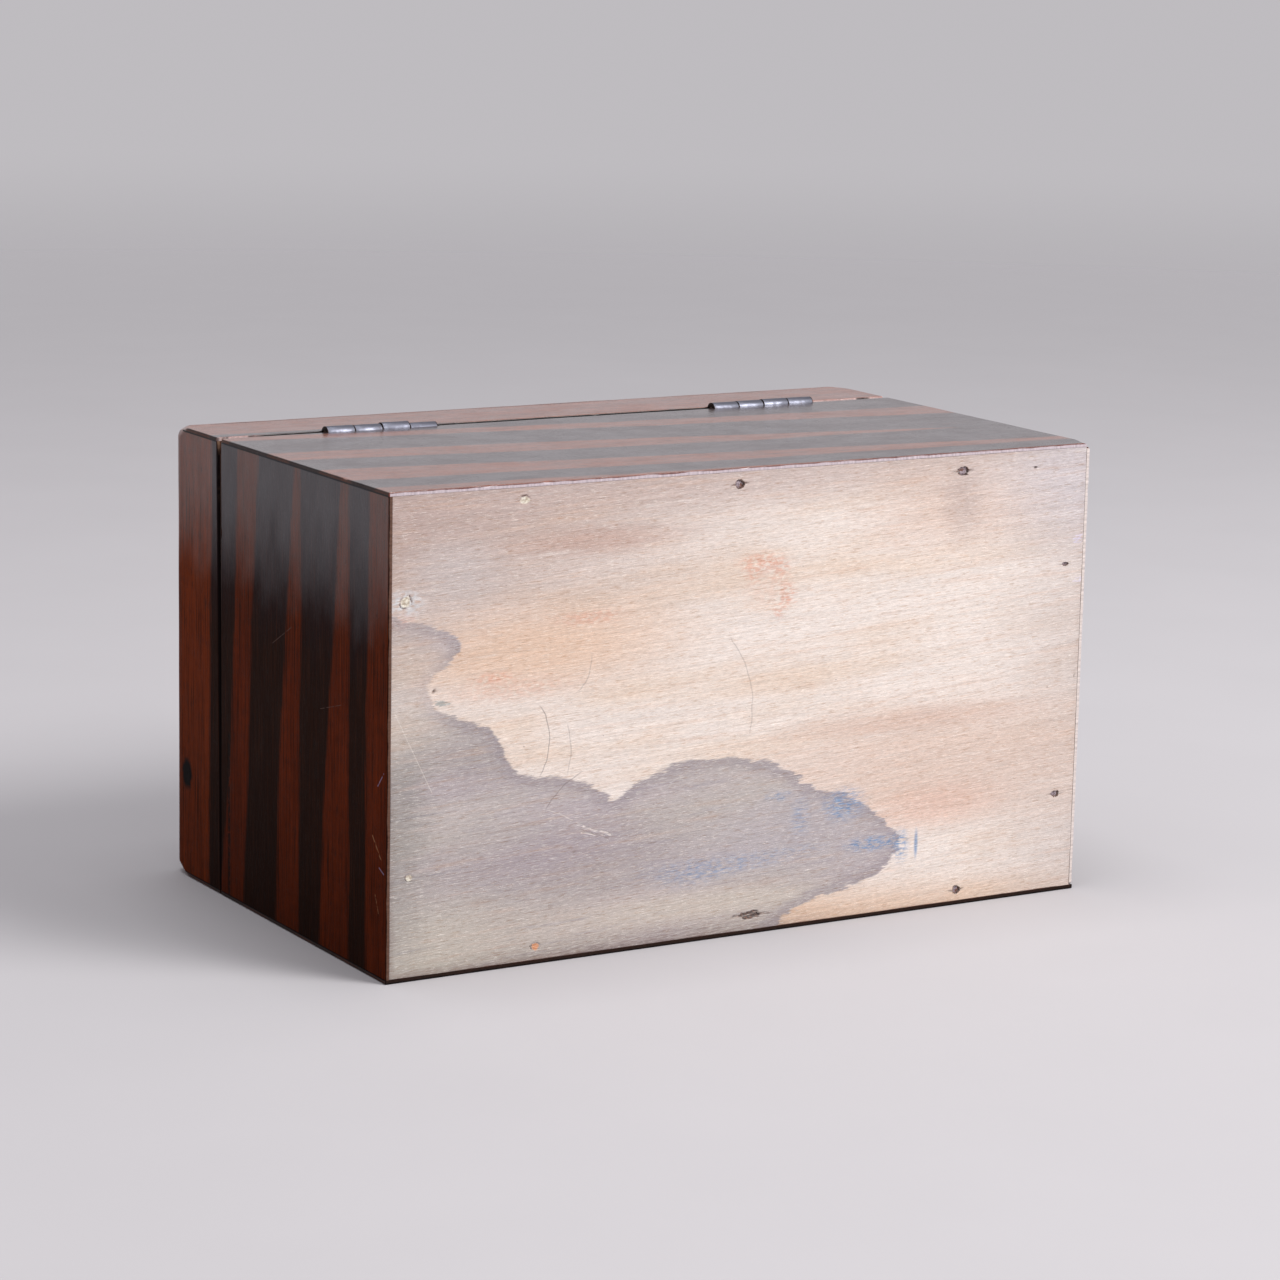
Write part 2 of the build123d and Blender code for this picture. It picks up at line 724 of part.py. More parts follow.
with BuildPart() as lock_case:
    block(
        -lock_plate_half_width, lock_plate_half_width, -inner_y - lock_top_plate_depth, -inner_y,
        lock_plate_bottom_z, body_height,
    )  # fmt: skip
    block(
        -lock_plate_half_width, lock_plate_half_width, plate_y, -inner_y,
        lock_bottom, lock_plate_bottom_z,
    )  # fmt: skip
    block(
        -lock_case_half_width, lock_case_half_width, cap_y, plate_y,
        lock_bottom, lock_plate_bottom_z,
    )  # fmt: skip
    # channel for the bar, chamber for posts and staples, chamber for the key
    block(
        bar_left - 3 * slide_clearance, bar_left + bar_length + bolt_travel + 3 * slide_clearance,
        cap_y, plate_y, bar_bottom - slide_clearance, bar_top + slide_clearance, Mode.SUBTRACT,
    )  # fmt: skip
    block(upper_left, upper_right, cap_y, plate_y, bar_top, lock_plate_bottom_z, Mode.SUBTRACT)
    block(
        -key_chamber_half, key_chamber_half, cap_y, plate_y,
        key_chamber_bottom, bar_bottom, Mode.SUBTRACT,
    )  # fmt: skip
    for centre in staple_centres:
        slot_half = staple_thickness / 2 + slot_slack
        block(
            centre - slot_half, centre + slot_half, staple_y0 - slot_slack, staple_y1 + slot_slack,
            lock_plate_bottom_z, body_height, Mode.SUBTRACT,
        )  # fmt: skip
    cross_rod(0, key_height, key_pin_radius, plate_y, -inner_y, Mode.SUBTRACT)
    for screw_x in (-lock_screw_x, lock_screw_x):
        for screw_z in lock_screw_heights:
            with Locations(Plane((screw_x, -inner_y, screw_z), z_dir=(0, 1, 0))):
                CounterSinkHole(screw_shank_radius, screw_head_radius, depth=2, counter_sink_angle=90)
finish(lock_case.part, "lock_case")

with BuildPart() as lock_cap:
    block(
        -lock_case_half_width, lock_case_half_width, cap_y - lock_cap_thickness, cap_y,
        lock_bottom, lock_plate_bottom_z,
    )  # fmt: skip
    keyhole(0, -half_depth, -inner_y, Mode.SUBTRACT)
finish(lock_cap.part, "lock_cap")

with BuildPart() as lock_key_pin:
    cross_rod(0, key_height, key_pin_radius, cap_y - lock_cap_thickness, -inner_y)
finish(lock_key_pin.part, "lock_key_pin")

bar_y0 = chamber_mid_y - bar_thickness / 2
bar_y1 = chamber_mid_y + bar_thickness / 2
talon_depth = 1.8
talon_width = 4.0

with BuildPart() as lock_bolt:
    block(bar_left, bar_left + bar_length, bar_y0, bar_y1, bar_bottom, bar_top)
    # notch that the key turns in
    block(-talon_width, 0, bar_y0, bar_y1, bar_bottom, bar_bottom + talon_depth, Mode.SUBTRACT)
    for post_left in post_lefts:
        post_right = post_left + post_width
        block(
            post_left, post_right, chamber_mid_y - post_thickness / 2,
            chamber_mid_y + post_thickness / 2, bar_top, prong_top,
        )  # fmt: skip
        block(
            post_right, post_right + prong_length, chamber_mid_y - prong_thickness / 2,
            chamber_mid_y + prong_thickness / 2, prong_bottom, prong_top,
        )  # fmt: skip
finish(lock_bolt.part, "lock_bolt")

spring_x0 = post_lefts[1] + post_width + bolt_travel + 3 * slide_clearance
spring_y0 = chamber_mid_y - post_thickness / 2
spring_y1 = chamber_mid_y + post_thickness / 2
spring_z0 = bar_top + slide_clearance

with BuildPart() as lock_spring:
    block(spring_x0, upper_right, spring_y0, spring_y1, spring_z0, spring_z0 + spring_thickness)
    block(
        upper_right - spring_thickness, upper_right, spring_y0, spring_y1,
        spring_z0, lock_plate_bottom_z,
    )  # fmt: skip
finish(lock_spring.part, "lock_spring")

lock_screw = woodscrew(lock_screw_length)

with BuildPart() as lock_screws:
    for screw_x in (-lock_screw_x, lock_screw_x):
        for screw_z in lock_screw_heights:
            with Locations(Plane((screw_x, -inner_y, screw_z), z_dir=(0, 1, 0))):
                add(lock_screw)
finish(lock_screws.part, "lock_screws")

with BuildPart() as link_plate:
    block(
        -link_plate_half_width, link_plate_half_width, link_pocket_y0, link_pocket_y1,
        link_z, link_z + link_plate_thickness,
    )  # fmt: skip
    for centre in staple_centres:
        staple_x0 = centre - staple_thickness / 2
        staple_x1 = centre + staple_thickness / 2
        block(staple_x0, staple_x1, staple_y0, staple_y1, staple_bottom, link_z)
        block(
            staple_x0, staple_x1, chamber_mid_y - staple_eye_width / 2,
            chamber_mid_y + staple_eye_width / 2, staple_eye_bottom, staple_eye_top, Mode.SUBTRACT,
        )  # fmt: skip
    upright_rod(link_screw_places, screw_shank_radius, link_z, link_z + clear, Mode.SUBTRACT)
    countersinks(link_screw_places, link_z, False)
finish(link_plate.part, "link_plate")

with BuildPart() as link_plate_screws:
    with Locations(*[(x, y, link_z) for x, y in link_screw_places]):
        add(hinge_screw, rotation=(180, 0, 0))
finish(link_plate_screws.part, "link_plate_screws")
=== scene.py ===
import math

import bmesh
import bpy
import numpy as np
from mathutils import Matrix, Vector


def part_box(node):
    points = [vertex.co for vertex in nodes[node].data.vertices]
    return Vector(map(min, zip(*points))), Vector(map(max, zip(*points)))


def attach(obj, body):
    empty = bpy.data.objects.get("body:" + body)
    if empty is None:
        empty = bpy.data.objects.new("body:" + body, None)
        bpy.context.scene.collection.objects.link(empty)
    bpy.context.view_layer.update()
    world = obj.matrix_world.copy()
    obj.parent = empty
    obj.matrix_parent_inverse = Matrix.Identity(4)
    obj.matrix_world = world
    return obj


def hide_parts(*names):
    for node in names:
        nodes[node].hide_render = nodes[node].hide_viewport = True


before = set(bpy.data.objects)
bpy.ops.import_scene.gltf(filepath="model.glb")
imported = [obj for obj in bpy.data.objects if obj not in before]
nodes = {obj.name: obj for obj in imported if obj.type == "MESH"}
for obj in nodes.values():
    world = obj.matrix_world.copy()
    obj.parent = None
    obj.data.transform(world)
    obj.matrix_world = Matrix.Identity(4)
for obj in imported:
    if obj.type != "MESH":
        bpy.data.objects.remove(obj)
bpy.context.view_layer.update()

# Places are in millimetres here and become metres when a mesh is made.
MM = 0.001
rng = np.random.default_rng(7)


def box_mm(node):
    """Lowest and highest corner of a CAD node, in millimetres."""
    low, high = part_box(node)
    return np.array(low) / MM, np.array(high) / MM


body_low = np.minimum(box_mm("front_veneer")[0], box_mm("back_veneer")[0])
body_high = np.maximum(box_mm("front_veneer")[1], box_mm("back_veneer")[1])
HALF_W, HALF_D = body_high[0], body_high[1]
RIM_Z = body_high[2]
LID_TOP = box_mm("lid_top_veneer")[1][2]
LEDGE_Z = box_mm("lid_back_edging")[0][2]
VENEER = HALF_D - box_mm("right_end_veneer")[1][1]
HINGE_Z = (box_mm("right_hinge_pin")[0][2] + box_mm("right_hinge_pin")[1][2]) / 2
HINGE_Y = (box_mm("right_hinge_pin")[0][1] + box_mm("right_hinge_pin")[1][1]) / 2
LID_FRONT_RIM = box_mm("lid_front_veneer")[0][2]
LID_BACK_RIM = box_mm("right_hinge_lid_leaf")[1][2] - 0.9


# ---- Node materials -----------------------------------------------------------------


def seen(red, green, blue, gain=1.0):
    """A linear colour from display values 0 to 255."""
    out = []
    for value in (red, green, blue):
        share = value / 255
        linear = share / 12.92 if share <= 0.04045 else ((share + 0.055) / 1.055) ** 2.4
        out.append(linear * gain)
    return (*out, 1.0)


class Graph:
    """A material's node tree, with short calls for the nodes used here. Values are sockets or numbers."""

    def __init__(self, name):
        self.material = bpy.data.materials.new(name)
        self.material.use_nodes = True
        self.tree = self.material.node_tree
        self.tree.nodes.clear()
        self.output = self.tree.nodes.new("ShaderNodeOutputMaterial")
        self.shader = self.tree.nodes.new("ShaderNodeBsdfPrincipled")
        self.tree.links.new(self.shader.outputs[0], self.output.inputs[0])
        coordinates = self.tree.nodes.new("ShaderNodeTexCoord")
        self.position = self.vector("SCALE", coordinates.outputs["Object"], scale=1 / MM)
        split = self.tree.nodes.new("ShaderNodeSeparateXYZ")
        self.put(split.inputs[0], self.position)
        self.x, self.y, self.z = split.outputs

    def put(self, socket, value):
        if isinstance(value, bpy.types.NodeSocket):
            self.tree.links.new(value, socket)
        elif value is not None:
            is_vector = socket.type == "VECTOR"
            socket.default_value = value[:3] if is_vector else value

    def math(self, operation, a, b=None, c=None, clamp=False):
        node = self.tree.nodes.new("ShaderNodeMath")
        node.operation = operation
        node.use_clamp = clamp
        for socket, value in zip(node.inputs, (a, b, c)):
            self.put(socket, value)
        return node.outputs[0]

    def vector(self, operation, a, b=None, scale=None):
        node = self.tree.nodes.new("ShaderNodeVectorMath")
        node.operation = operation
        self.put(node.inputs[0], a)
        self.put(node.inputs[1], b)
        self.put(node.inputs[3], scale)
        return node.outputs[1] if operation in ("LENGTH", "DISTANCE", "DOT_PRODUCT") else node.outputs[0]

    def join(self, x=0.0, y=0.0, z=0.0):
        node = self.tree.nodes.new("ShaderNodeCombineXYZ")
        for socket, value in zip(node.inputs, (x, y, z)):
            self.put(socket, value)
        return node.outputs[0]

    def noise(self, along, across, along_size, across_size, detail=2.0, shift=0.0, rough=0.5):
        """Noise from 0 to 1 whose features are along_size by across_size millimetres."""
        point = self.join(
            self.math("DIVIDE", along, along_size), self.math("DIVIDE", across, across_size), shift
        )
        node = self.tree.nodes.new("ShaderNodeTexNoise")
        self.put(node.inputs["Vector"], point)
        node.inputs["Scale"].default_value = 1.0
        node.inputs["Detail"].default_value = detail
        node.inputs["Roughness"].default_value = rough
        return node.outputs["Fac"]

    def solid_noise(self, size, detail=2.0, shift=0.0):
        """Noise from 0 to 1 with features of one size in every direction."""
        point = self.vector("ADD", self.vector("SCALE", self.position, scale=1 / size), (shift,) * 3)
        node = self.tree.nodes.new("ShaderNodeTexNoise")
        self.put(node.inputs["Vector"], point)
        node.inputs["Scale"].default_value = 1.0
        node.inputs["Detail"].default_value = detail
        return node.outputs["Fac"]

    def smooth(self, value, start, end, low=0.0, high=1.0):
        """Turns smoothly from low to high as value runs from start to end."""
        node = self.tree.nodes.new("ShaderNodeMapRange")
        node.interpolation_type = "SMOOTHSTEP"
        for socket, number in zip(node.inputs, (value, start, end, low, high)):
            self.put(socket, number)
        return node.outputs[0]

    def mix(self, share, a, b, blend="MIX"):
        node = self.tree.nodes.new("ShaderNodeMix")
        node.data_type = "RGBA"
        node.blend_type = blend
        self.put(node.inputs["Factor"], share)
        self.put(node.inputs["A"], a)
        self.put(node.inputs["B"], b)
        return next(s for s in node.outputs if s.type == "RGBA")

    def dim(self, colour, factor):
        """Colour times a number."""
        return self.vector("SCALE", colour, scale=factor)

    def bump(self, height, distance, strength=1.0, normal=None):
        """Bump from a height of 0 to 1 that stands for distance millimetres."""
        node = self.tree.nodes.new("ShaderNodeBump")
        self.put(node.inputs["Height"], height)
        node.inputs["Distance"].default_value = distance * MM
        node.inputs["Strength"].default_value = strength
        if normal is not None:
            self.put(node.inputs["Normal"], normal)
        return node.outputs[0]

    def attribute(self, name):
        node = self.tree.nodes.new("ShaderNodeAttribute")
        node.attribute_name = name
        return node.outputs["Fac"]

    def band(self, value, centre, half, soft):
        """1 within half of centre, falling to 0 over soft."""
        away = self.math("ABSOLUTE", self.math("SUBTRACT", value, centre))
        return self.smooth(away, half + soft, half)

    def spot(self, a, b, centre, radii, soft=0.3):
        """1 inside an ellipse in the a-b plane, with a soft edge."""
        da = self.math("DIVIDE", self.math("SUBTRACT", a, centre[0]), radii[0])
        db = self.math("DIVIDE", self.math("SUBTRACT", b, centre[1]), radii[1])
        away = self.math("SQRT", self.math("ADD", self.math("POWER", da, 2), self.math("POWER", db, 2)))
        return self.smooth(away, 1 + soft, 1 - soft)

    def line(self, a, b, start, end, half, soft):
        """1 on a straight mark from start to end in the a-b plane."""
        run = (end[0] - start[0], end[1] - start[1])
        length = math.hypot(*run)
        da = self.math("SUBTRACT", a, start[0])
        db = self.math("SUBTRACT", b, start[1])
        t = self.math(
            "DIVIDE",
            self.math("ADD", self.math("MULTIPLY", da, run[0]), self.math("MULTIPLY", db, run[1])),
            length**2,
            clamp=True,
        )
        ea = self.math("SUBTRACT", da, self.math("MULTIPLY", t, run[0]))
        eb = self.math("SUBTRACT", db, self.math("MULTIPLY", t, run[1]))
        away = self.math("SQRT", self.math("ADD", self.math("POWER", ea, 2), self.math("POWER", eb, 2)))
        return self.smooth(away, half + soft, half)

    def set(self, **values):
        for name, value in values.items():
            self.put(self.shader.inputs[name.replace("_", " ")], value)


BROWN = (0.170, 0.041, 0.015, 1.0)
BROWN_RED = (0.082, 0.020, 0.009, 1.0)
VEIN = (0.024, 0.010, 0.007, 1.0)
DARK = (0.020, 0.0105, 0.0092, 1.0)
DARK_WARM = (0.046, 0.021, 0.014, 1.0)
EVEN_TINTS = ((1.0, 1.0, 1.0), (1.0, 1.0, 1.0))
# brown and dark of the back, painted lighter as if lit more strongly, and the dark given a painted bluish reflection
# of the pale room
BACK_LIGHT_TINTS = ((1.65, 1.65, 1.20), (1.3, 1.1, 1.45))
# the two colours of the right end, on the body and on the lid, made darker and deeper as painted shade of the end
# turned away from the key light
END_SHADE_TINTS = ((0.76, 0.48, 0.26), (0.85, 0.56, 0.36))
LID_END_SHADE_TINTS = ((1.06, 0.72, 0.38), (0.85, 0.56, 0.36))
# bluish painted reflection added on the rubbed end, over the dark and over the brown
REFLECTION_ON_DARK = (0.004, 0.008, 0.015)
REFLECTION_ON_BROWN = (0.006, 0.008, 0.005)


def striped_wood(name, run, edges, seed, knot=None, marks=(), raw_and_shadow_edge=None, rim=None, polish="even", light_and_shade_tints=EVEN_TINTS):
    """French-polished veneer with soft-edged dark stripes, brown at the bottom.

    run is the axis the grain follows. edges are (place, slope, bend): each stripe ends where the
    height, or the depth on the lid's top, passes place + slope * run + bend * run squared.
    """
    g = Graph(name)
    along = g.x if run == "x" else g.y
    across = g.z if edges is not TOP_STRIPES else g.y
    slow = g.math("SUBTRACT", g.noise(along, across, 46.0, 20.0, 1.0, seed), 0.5)
    fibre = g.math("SUBTRACT", g.noise(along, across, 10.0, 0.42, 3.0, seed + 2.0), 0.5)
    height = g.math("ADD", across, g.math("MULTIPLY", slow, 3.0))
    height = g.math("ADD", height, g.math("MULTIPLY", fibre, 3.2))
    squared = g.math("MULTIPLY", along, along)
    brown = 1.0
    sign = -1.0
    for place, slope, bend in edges:
        level = g.math("SUBTRACT", height, g.math("MULTIPLY", along, slope))
        level = g.math("SUBTRACT", level, g.math("MULTIPLY", squared, bend))
        step = g.smooth(level, place - 0.75, place + 0.75)
        brown = g.math("MULTIPLY_ADD", step, sign, brown)
        sign = -sign
    # fine figure: long streaks in both colours, and short dark pores
    streak = g.noise(along, across, 24.0, 0.5, 4.0, seed + 5.0, 0.7)
    wide_streak = g.noise(along, across, 60.0, 3.2, 2.0, seed + 8.0)
    tone = g.math("MULTIPLY", g.smooth(streak, 0.32, 0.68), 0.75)
    tone = g.math("MULTIPLY_ADD", g.smooth(wide_streak, 0.3, 0.7), 0.4, tone)
    light = g.mix(g.math("MULTIPLY", tone, 0.9, clamp=True), BROWN_RED, BROWN)
    vein = g.smooth(g.noise(along, across, 26.0, 0.62, 3.0, seed + 9.0, 0.6), 0.52, 0.66)
    light = g.mix(g.math("MULTIPLY", vein, 0.68), light, VEIN)
    # the painted shade tint of the rubbed end stays on the upright face only, not over the rounded edge on the lid's
    # top
    off_x = g.math("SUBTRACT", HALF_W, g.math("ABSOLUTE", g.x))
    on_top = g.smooth(off_x, 1.5, 5.0) if polish == "rubbed" else 0.0
    tint = g.mix(on_top, light_and_shade_tints[0] + (1.0,), EVEN_TINTS[0] + (1.0,)) if polish == "rubbed" else light_and_shade_tints[0]
    # painted light and shade: the tints brighten the back's colours and darken the right end's
    light = g.vector("MULTIPLY", light, tint)
    dark = g.mix(g.smooth(streak, 0.46, 0.72), DARK, DARK_WARM)
    dark = g.vector("MULTIPLY", dark, light_and_shade_tints[1])
    colour = g.mix(brown, dark, light)
    pores = g.noise(along, across, 3.4, 0.2, 1.0, seed + 11.0)
    pore = g.smooth(pores, 0.56, 0.68)
    colour = g.mix(g.math("MULTIPLY", pore, 0.6), colour, (0.008, 0.006, 0.006, 1.0))
    shimmer = g.noise(along, across, 3.0, 5.0, 2.0, seed + 14.0)
    colour = g.dim(colour, g.smooth(shimmer, 0.25, 0.75, 0.93, 1.07))
    if knot:
        wobble = g.math("MULTIPLY", g.math("SUBTRACT", g.solid_noise(2.0), 0.5), 1.6)
        spot = g.spot(g.math("ADD", along, wobble), g.math("ADD", across, wobble), knot[:2], knot[2:], 0.28)
        colour = g.mix(spot, colour, (0.009, 0.007, 0.007, 1.0))
    # dark glue lines and dirt at the upright corners, where the front and back sheets lap the ends
    off_y = g.math("SUBTRACT", HALF_D, g.math("ABSOLUTE", g.y))
    grime = g.solid_noise(1.7, 3.0, seed)
    end_grain = g.math("MULTIPLY", g.smooth(off_x, 0.25, 0.1), g.smooth(off_y, VENEER, VENEER - 0.1))
    colour = g.mix(g.math("MULTIPLY", end_grain, 0.75), colour, (0.032, 0.021, 0.018, 1.0))
    at_arris = g.math("MAXIMUM", off_x, off_y)
    arris = g.smooth(at_arris, g.smooth(grime, 0.3, 0.75, 0.22, 0.48), 0.10)
    glue = g.math("MULTIPLY", g.band(off_y, VENEER, 0.12, 0.14), g.smooth(off_x, 0.8, 0.3))
    worn = g.math("MAXIMUM", g.math("MULTIPLY", arris, 0.85), glue)
    colour = g.mix(worn, colour, (0.006, 0.004, 0.004, 1.0))
    height_map = g.math("SUBTRACT", 1.0, pore)
    for start, end, half, tint in marks:
        mark = g.line(along, across, start, end, half, half)
        broken = g.smooth(g.solid_noise(1.3, 2.0, start[0]), 0.36, 0.5)
        mark = g.math("MULTIPLY", mark, broken)
        colour = g.mix(g.math("MULTIPLY", mark, 0.8), colour, tint)
        height_map = g.math("SUBTRACT", height_map, mark)
    shine = {"half": 0.6, "dull": 0.04}.get(polish, 1.0)
    if polish == "rubbed":
        # the polish is worn off towards the front; a bluish painted reflection is added towards the back, and painted
        # shade darkens the front, next to the floor
        wobble = g.math("MULTIPLY", g.math("SUBTRACT", g.noise(along, across, 16.0, 7.0, 3.0, 300.0), 0.5), 16.0)
        place = g.math("ADD", g.y, wobble)
        shine = g.math("MAXIMUM", g.smooth(place, 20.0, 58.0, 0.012, 0.62), on_top)
        painted_reflection = g.dim(g.mix(brown, REFLECTION_ON_DARK + (1.0,), REFLECTION_ON_BROWN + (1.0,)), g.smooth(place, 6.0, 50.0))
        colour = g.vector("ADD", colour, painted_reflection)
        # painted shade: darker towards the front, next to the floor
        colour = g.dim(colour, g.smooth(place, -60.0, 0.0, 0.72, 1.0))
    dull = g.math("MAXIMUM", g.math("MULTIPLY", end_grain, 0.86), g.math("MULTIPLY", worn, 0.8))
    shine = g.math("MULTIPLY", shine, g.math("SUBTRACT", 1.0, dull))
    if raw_and_shadow_edge is not None:
        # sawn lower edges of the sheet: outer and inner colour, and where they are bare; on the body's front sheet
        # these colours are painted shadow
        geometry = g.tree.nodes.new("ShaderNodeNewGeometry")
        transform = g.tree.nodes.new("ShaderNodeVectorTransform")
        transform.vector_type = "NORMAL"
        transform.convert_from, transform.convert_to = "WORLD", "OBJECT"
        g.put(transform.inputs[0], geometry.outputs["True Normal"])
        split = g.tree.nodes.new("ShaderNodeSeparateXYZ")
        g.put(split.inputs[0], transform.outputs[0])
        facing_down = g.smooth(g.math("MULTIPLY", split.outputs[2], -1.0), 0.55, 0.85)
        edge_depth = g.math("MINIMUM", off_x, off_y)
        ragged = g.math("MULTIPLY", g.math("SUBTRACT", g.noise(along, across, 7.0, 1.0, 4.0, seed + 20.0), 0.5), 0.8)
        bare = g.mix(g.smooth(g.math("ADD", edge_depth, ragged), 0.22, 0.46), raw_and_shadow_edge[0], raw_and_shadow_edge[1])
        bare = g.dim(bare, g.smooth(g.noise(along, across, 0.8, 0.8, 3.0, seed + 23.0), 0.25, 0.75, 0.72, 1.15))
        if rim is not None:
            patches = g.math("ADD", g.smooth(along, *rim[0]), g.smooth(along, *rim[1]), clamp=True)
            patches = g.math("MULTIPLY", patches, g.smooth(g.noise(along, across, 4.0, 4.0, 2.0, seed), 0.36, 0.5))
            bare = g.mix(patches, (0.012, 0.008, 0.008, 1.0), bare)
        colour = g.mix(facing_down, colour, bare)
        covered = g.math("SUBTRACT", 1.0, g.math("MULTIPLY", facing_down, 0.8))
        shine = g.math("MULTIPLY", covered, shine)
    rough = g.smooth(g.noise(along, across, 14.0, 6.0, 3.0, seed + 17.0), 0.3, 0.7, 0.30, 0.42)
    even = polish == "even"
    g.set(
        Base_Color=colour,
        Roughness=rough,
        Specular_IOR_Level=g.math("MULTIPLY", shine, 0.5),
        Coat_Weight=g.math("MULTIPLY", shine, 0.95 if even else 0.8),
        Coat_IOR=1.68 if even else 1.55,
        Coat_Roughness=g.smooth(g.solid_noise(9.0, 3.0, seed + 3.0), 0.3, 0.75, 0.12, 0.26),
        Normal=g.bump(height_map, 0.05, 0.5),
        Coat_Normal=g.bump(height_map, 0.02, 0.35),
    )
    return g.material


# Stripe edges: place at the middle of the face in mm, and drift per mm of run.
RIGHT_STRIPES = [
    (10.2, 0.0, 0.0), (19.8, 0.009, 0.0), (30.8, -0.095, -0.0004), (46.3, -0.012, 0.0), (56.0, -0.09, -0.0006),
    (74.3, -0.068, 0.0), (84.3, -0.09, 0.0009), (98.0, -0.02, 0.0),
]  # fmt: skip
BACK_STRIPES = [
    (1.0, 0.0375, 0.0003), (11.6, 0.056, 0.0002), (23.3, 0.119, 0.00014), (40.0, 0.085, 0.00045),
    (51.0, 0.159, -0.0002), (72.0, 0.136, 0.0001), (80.5, 0.1, 0.00028), (93.5, 0.028, 0.0002),
]  # fmt: skip
LEFT_STRIPES = [
    (10.0, 0.03, 0.0), (22.0, 0.05, 0.0), (31.0, 0.06, -0.0005), (47.0, 0.05, 0.0), (58.0, 0.07, 0.0004),
    (70.0, 0.08, 0.0), (82.0, 0.05, -0.0004), (95.0, 0.02, 0.0),
]  # fmt: skip
FRONT_STRIPES = [
    (7.5, 0.02, 0.0), (16.0, -0.02, 0.0), (29.0, -0.05, 0.0002), (43.0, -0.045, 0.0), (54.0, -0.06, 0.0),
    (71.0, -0.05, -0.0002), (81.0, -0.03, 0.0), (97.0, -0.01, 0.0),
]  # fmt: skip
TOP_STRIPES = [
    (-41.0, 0.03, 0.0), (-28.0, 0.02, 0.0002), (-14.0, 0.05, 0.0), (-2.0, 0.03, -0.0003), (13.0, 0.05, 0.0),
    (24.0, 0.04, 0.0), (40.0, 0.02, 0.0002),
]  # fmt: skip

LILAC_MARK = (0.22, 0.16, 0.24, 1.0)
RUSTY_MARK = (0.26, 0.12, 0.06, 1.0)
DARK_LINE = (0.012, 0.008, 0.007, 1.0)
END_MARKS = [
    ((-8.0, 1.5), (-11.5, 4.5), 0.12, LILAC_MARK),
    ((-24.0, 7.0), (-29.0, 2.5), 0.16, RUSTY_MARK),
    ((-31.0, 3.5), (-32.0, 1.2), 0.14, LILAC_MARK),
    ((-38.0, 5.5), (-42.0, 3.8), 0.12, RUSTY_MARK),
    ((4.0, 24.0), (1.0, 35.0), 0.05, (0.10, 0.06, 0.05, 1.0)),
    ((18.0, 51.0), (12.0, 62.0), 0.05, (0.11, 0.07, 0.06, 1.0)),
    ((-16.0, 86.9), (-60.0, 86.7), 0.5, DARK_LINE),
]
RED_AND_LILAC = (seen(112, 62, 54, 0.8), seen(212, 198, 204, 0.8))
DARK_AND_DIRTY = (seen(40, 22, 17, 0.8), seen(112, 84, 72, 0.8))
PALE_EDGE = (seen(226, 214, 212, 0.8), seen(232, 220, 214, 0.8))
DARK_AND_TAN = (seen(52, 30, 22, 0.8), seen(128, 100, 82, 0.8))
# the body front sheet's lower edge, painted near black as the shadow where the box lies on the floor
CONTACT_SHADOW_EDGE = (seen(20, 12, 10, 0.8), seen(44, 28, 22, 0.8))
PINK_AND_PALE = (seen(196, 156, 152, 0.8), seen(226, 200, 196, 0.8))


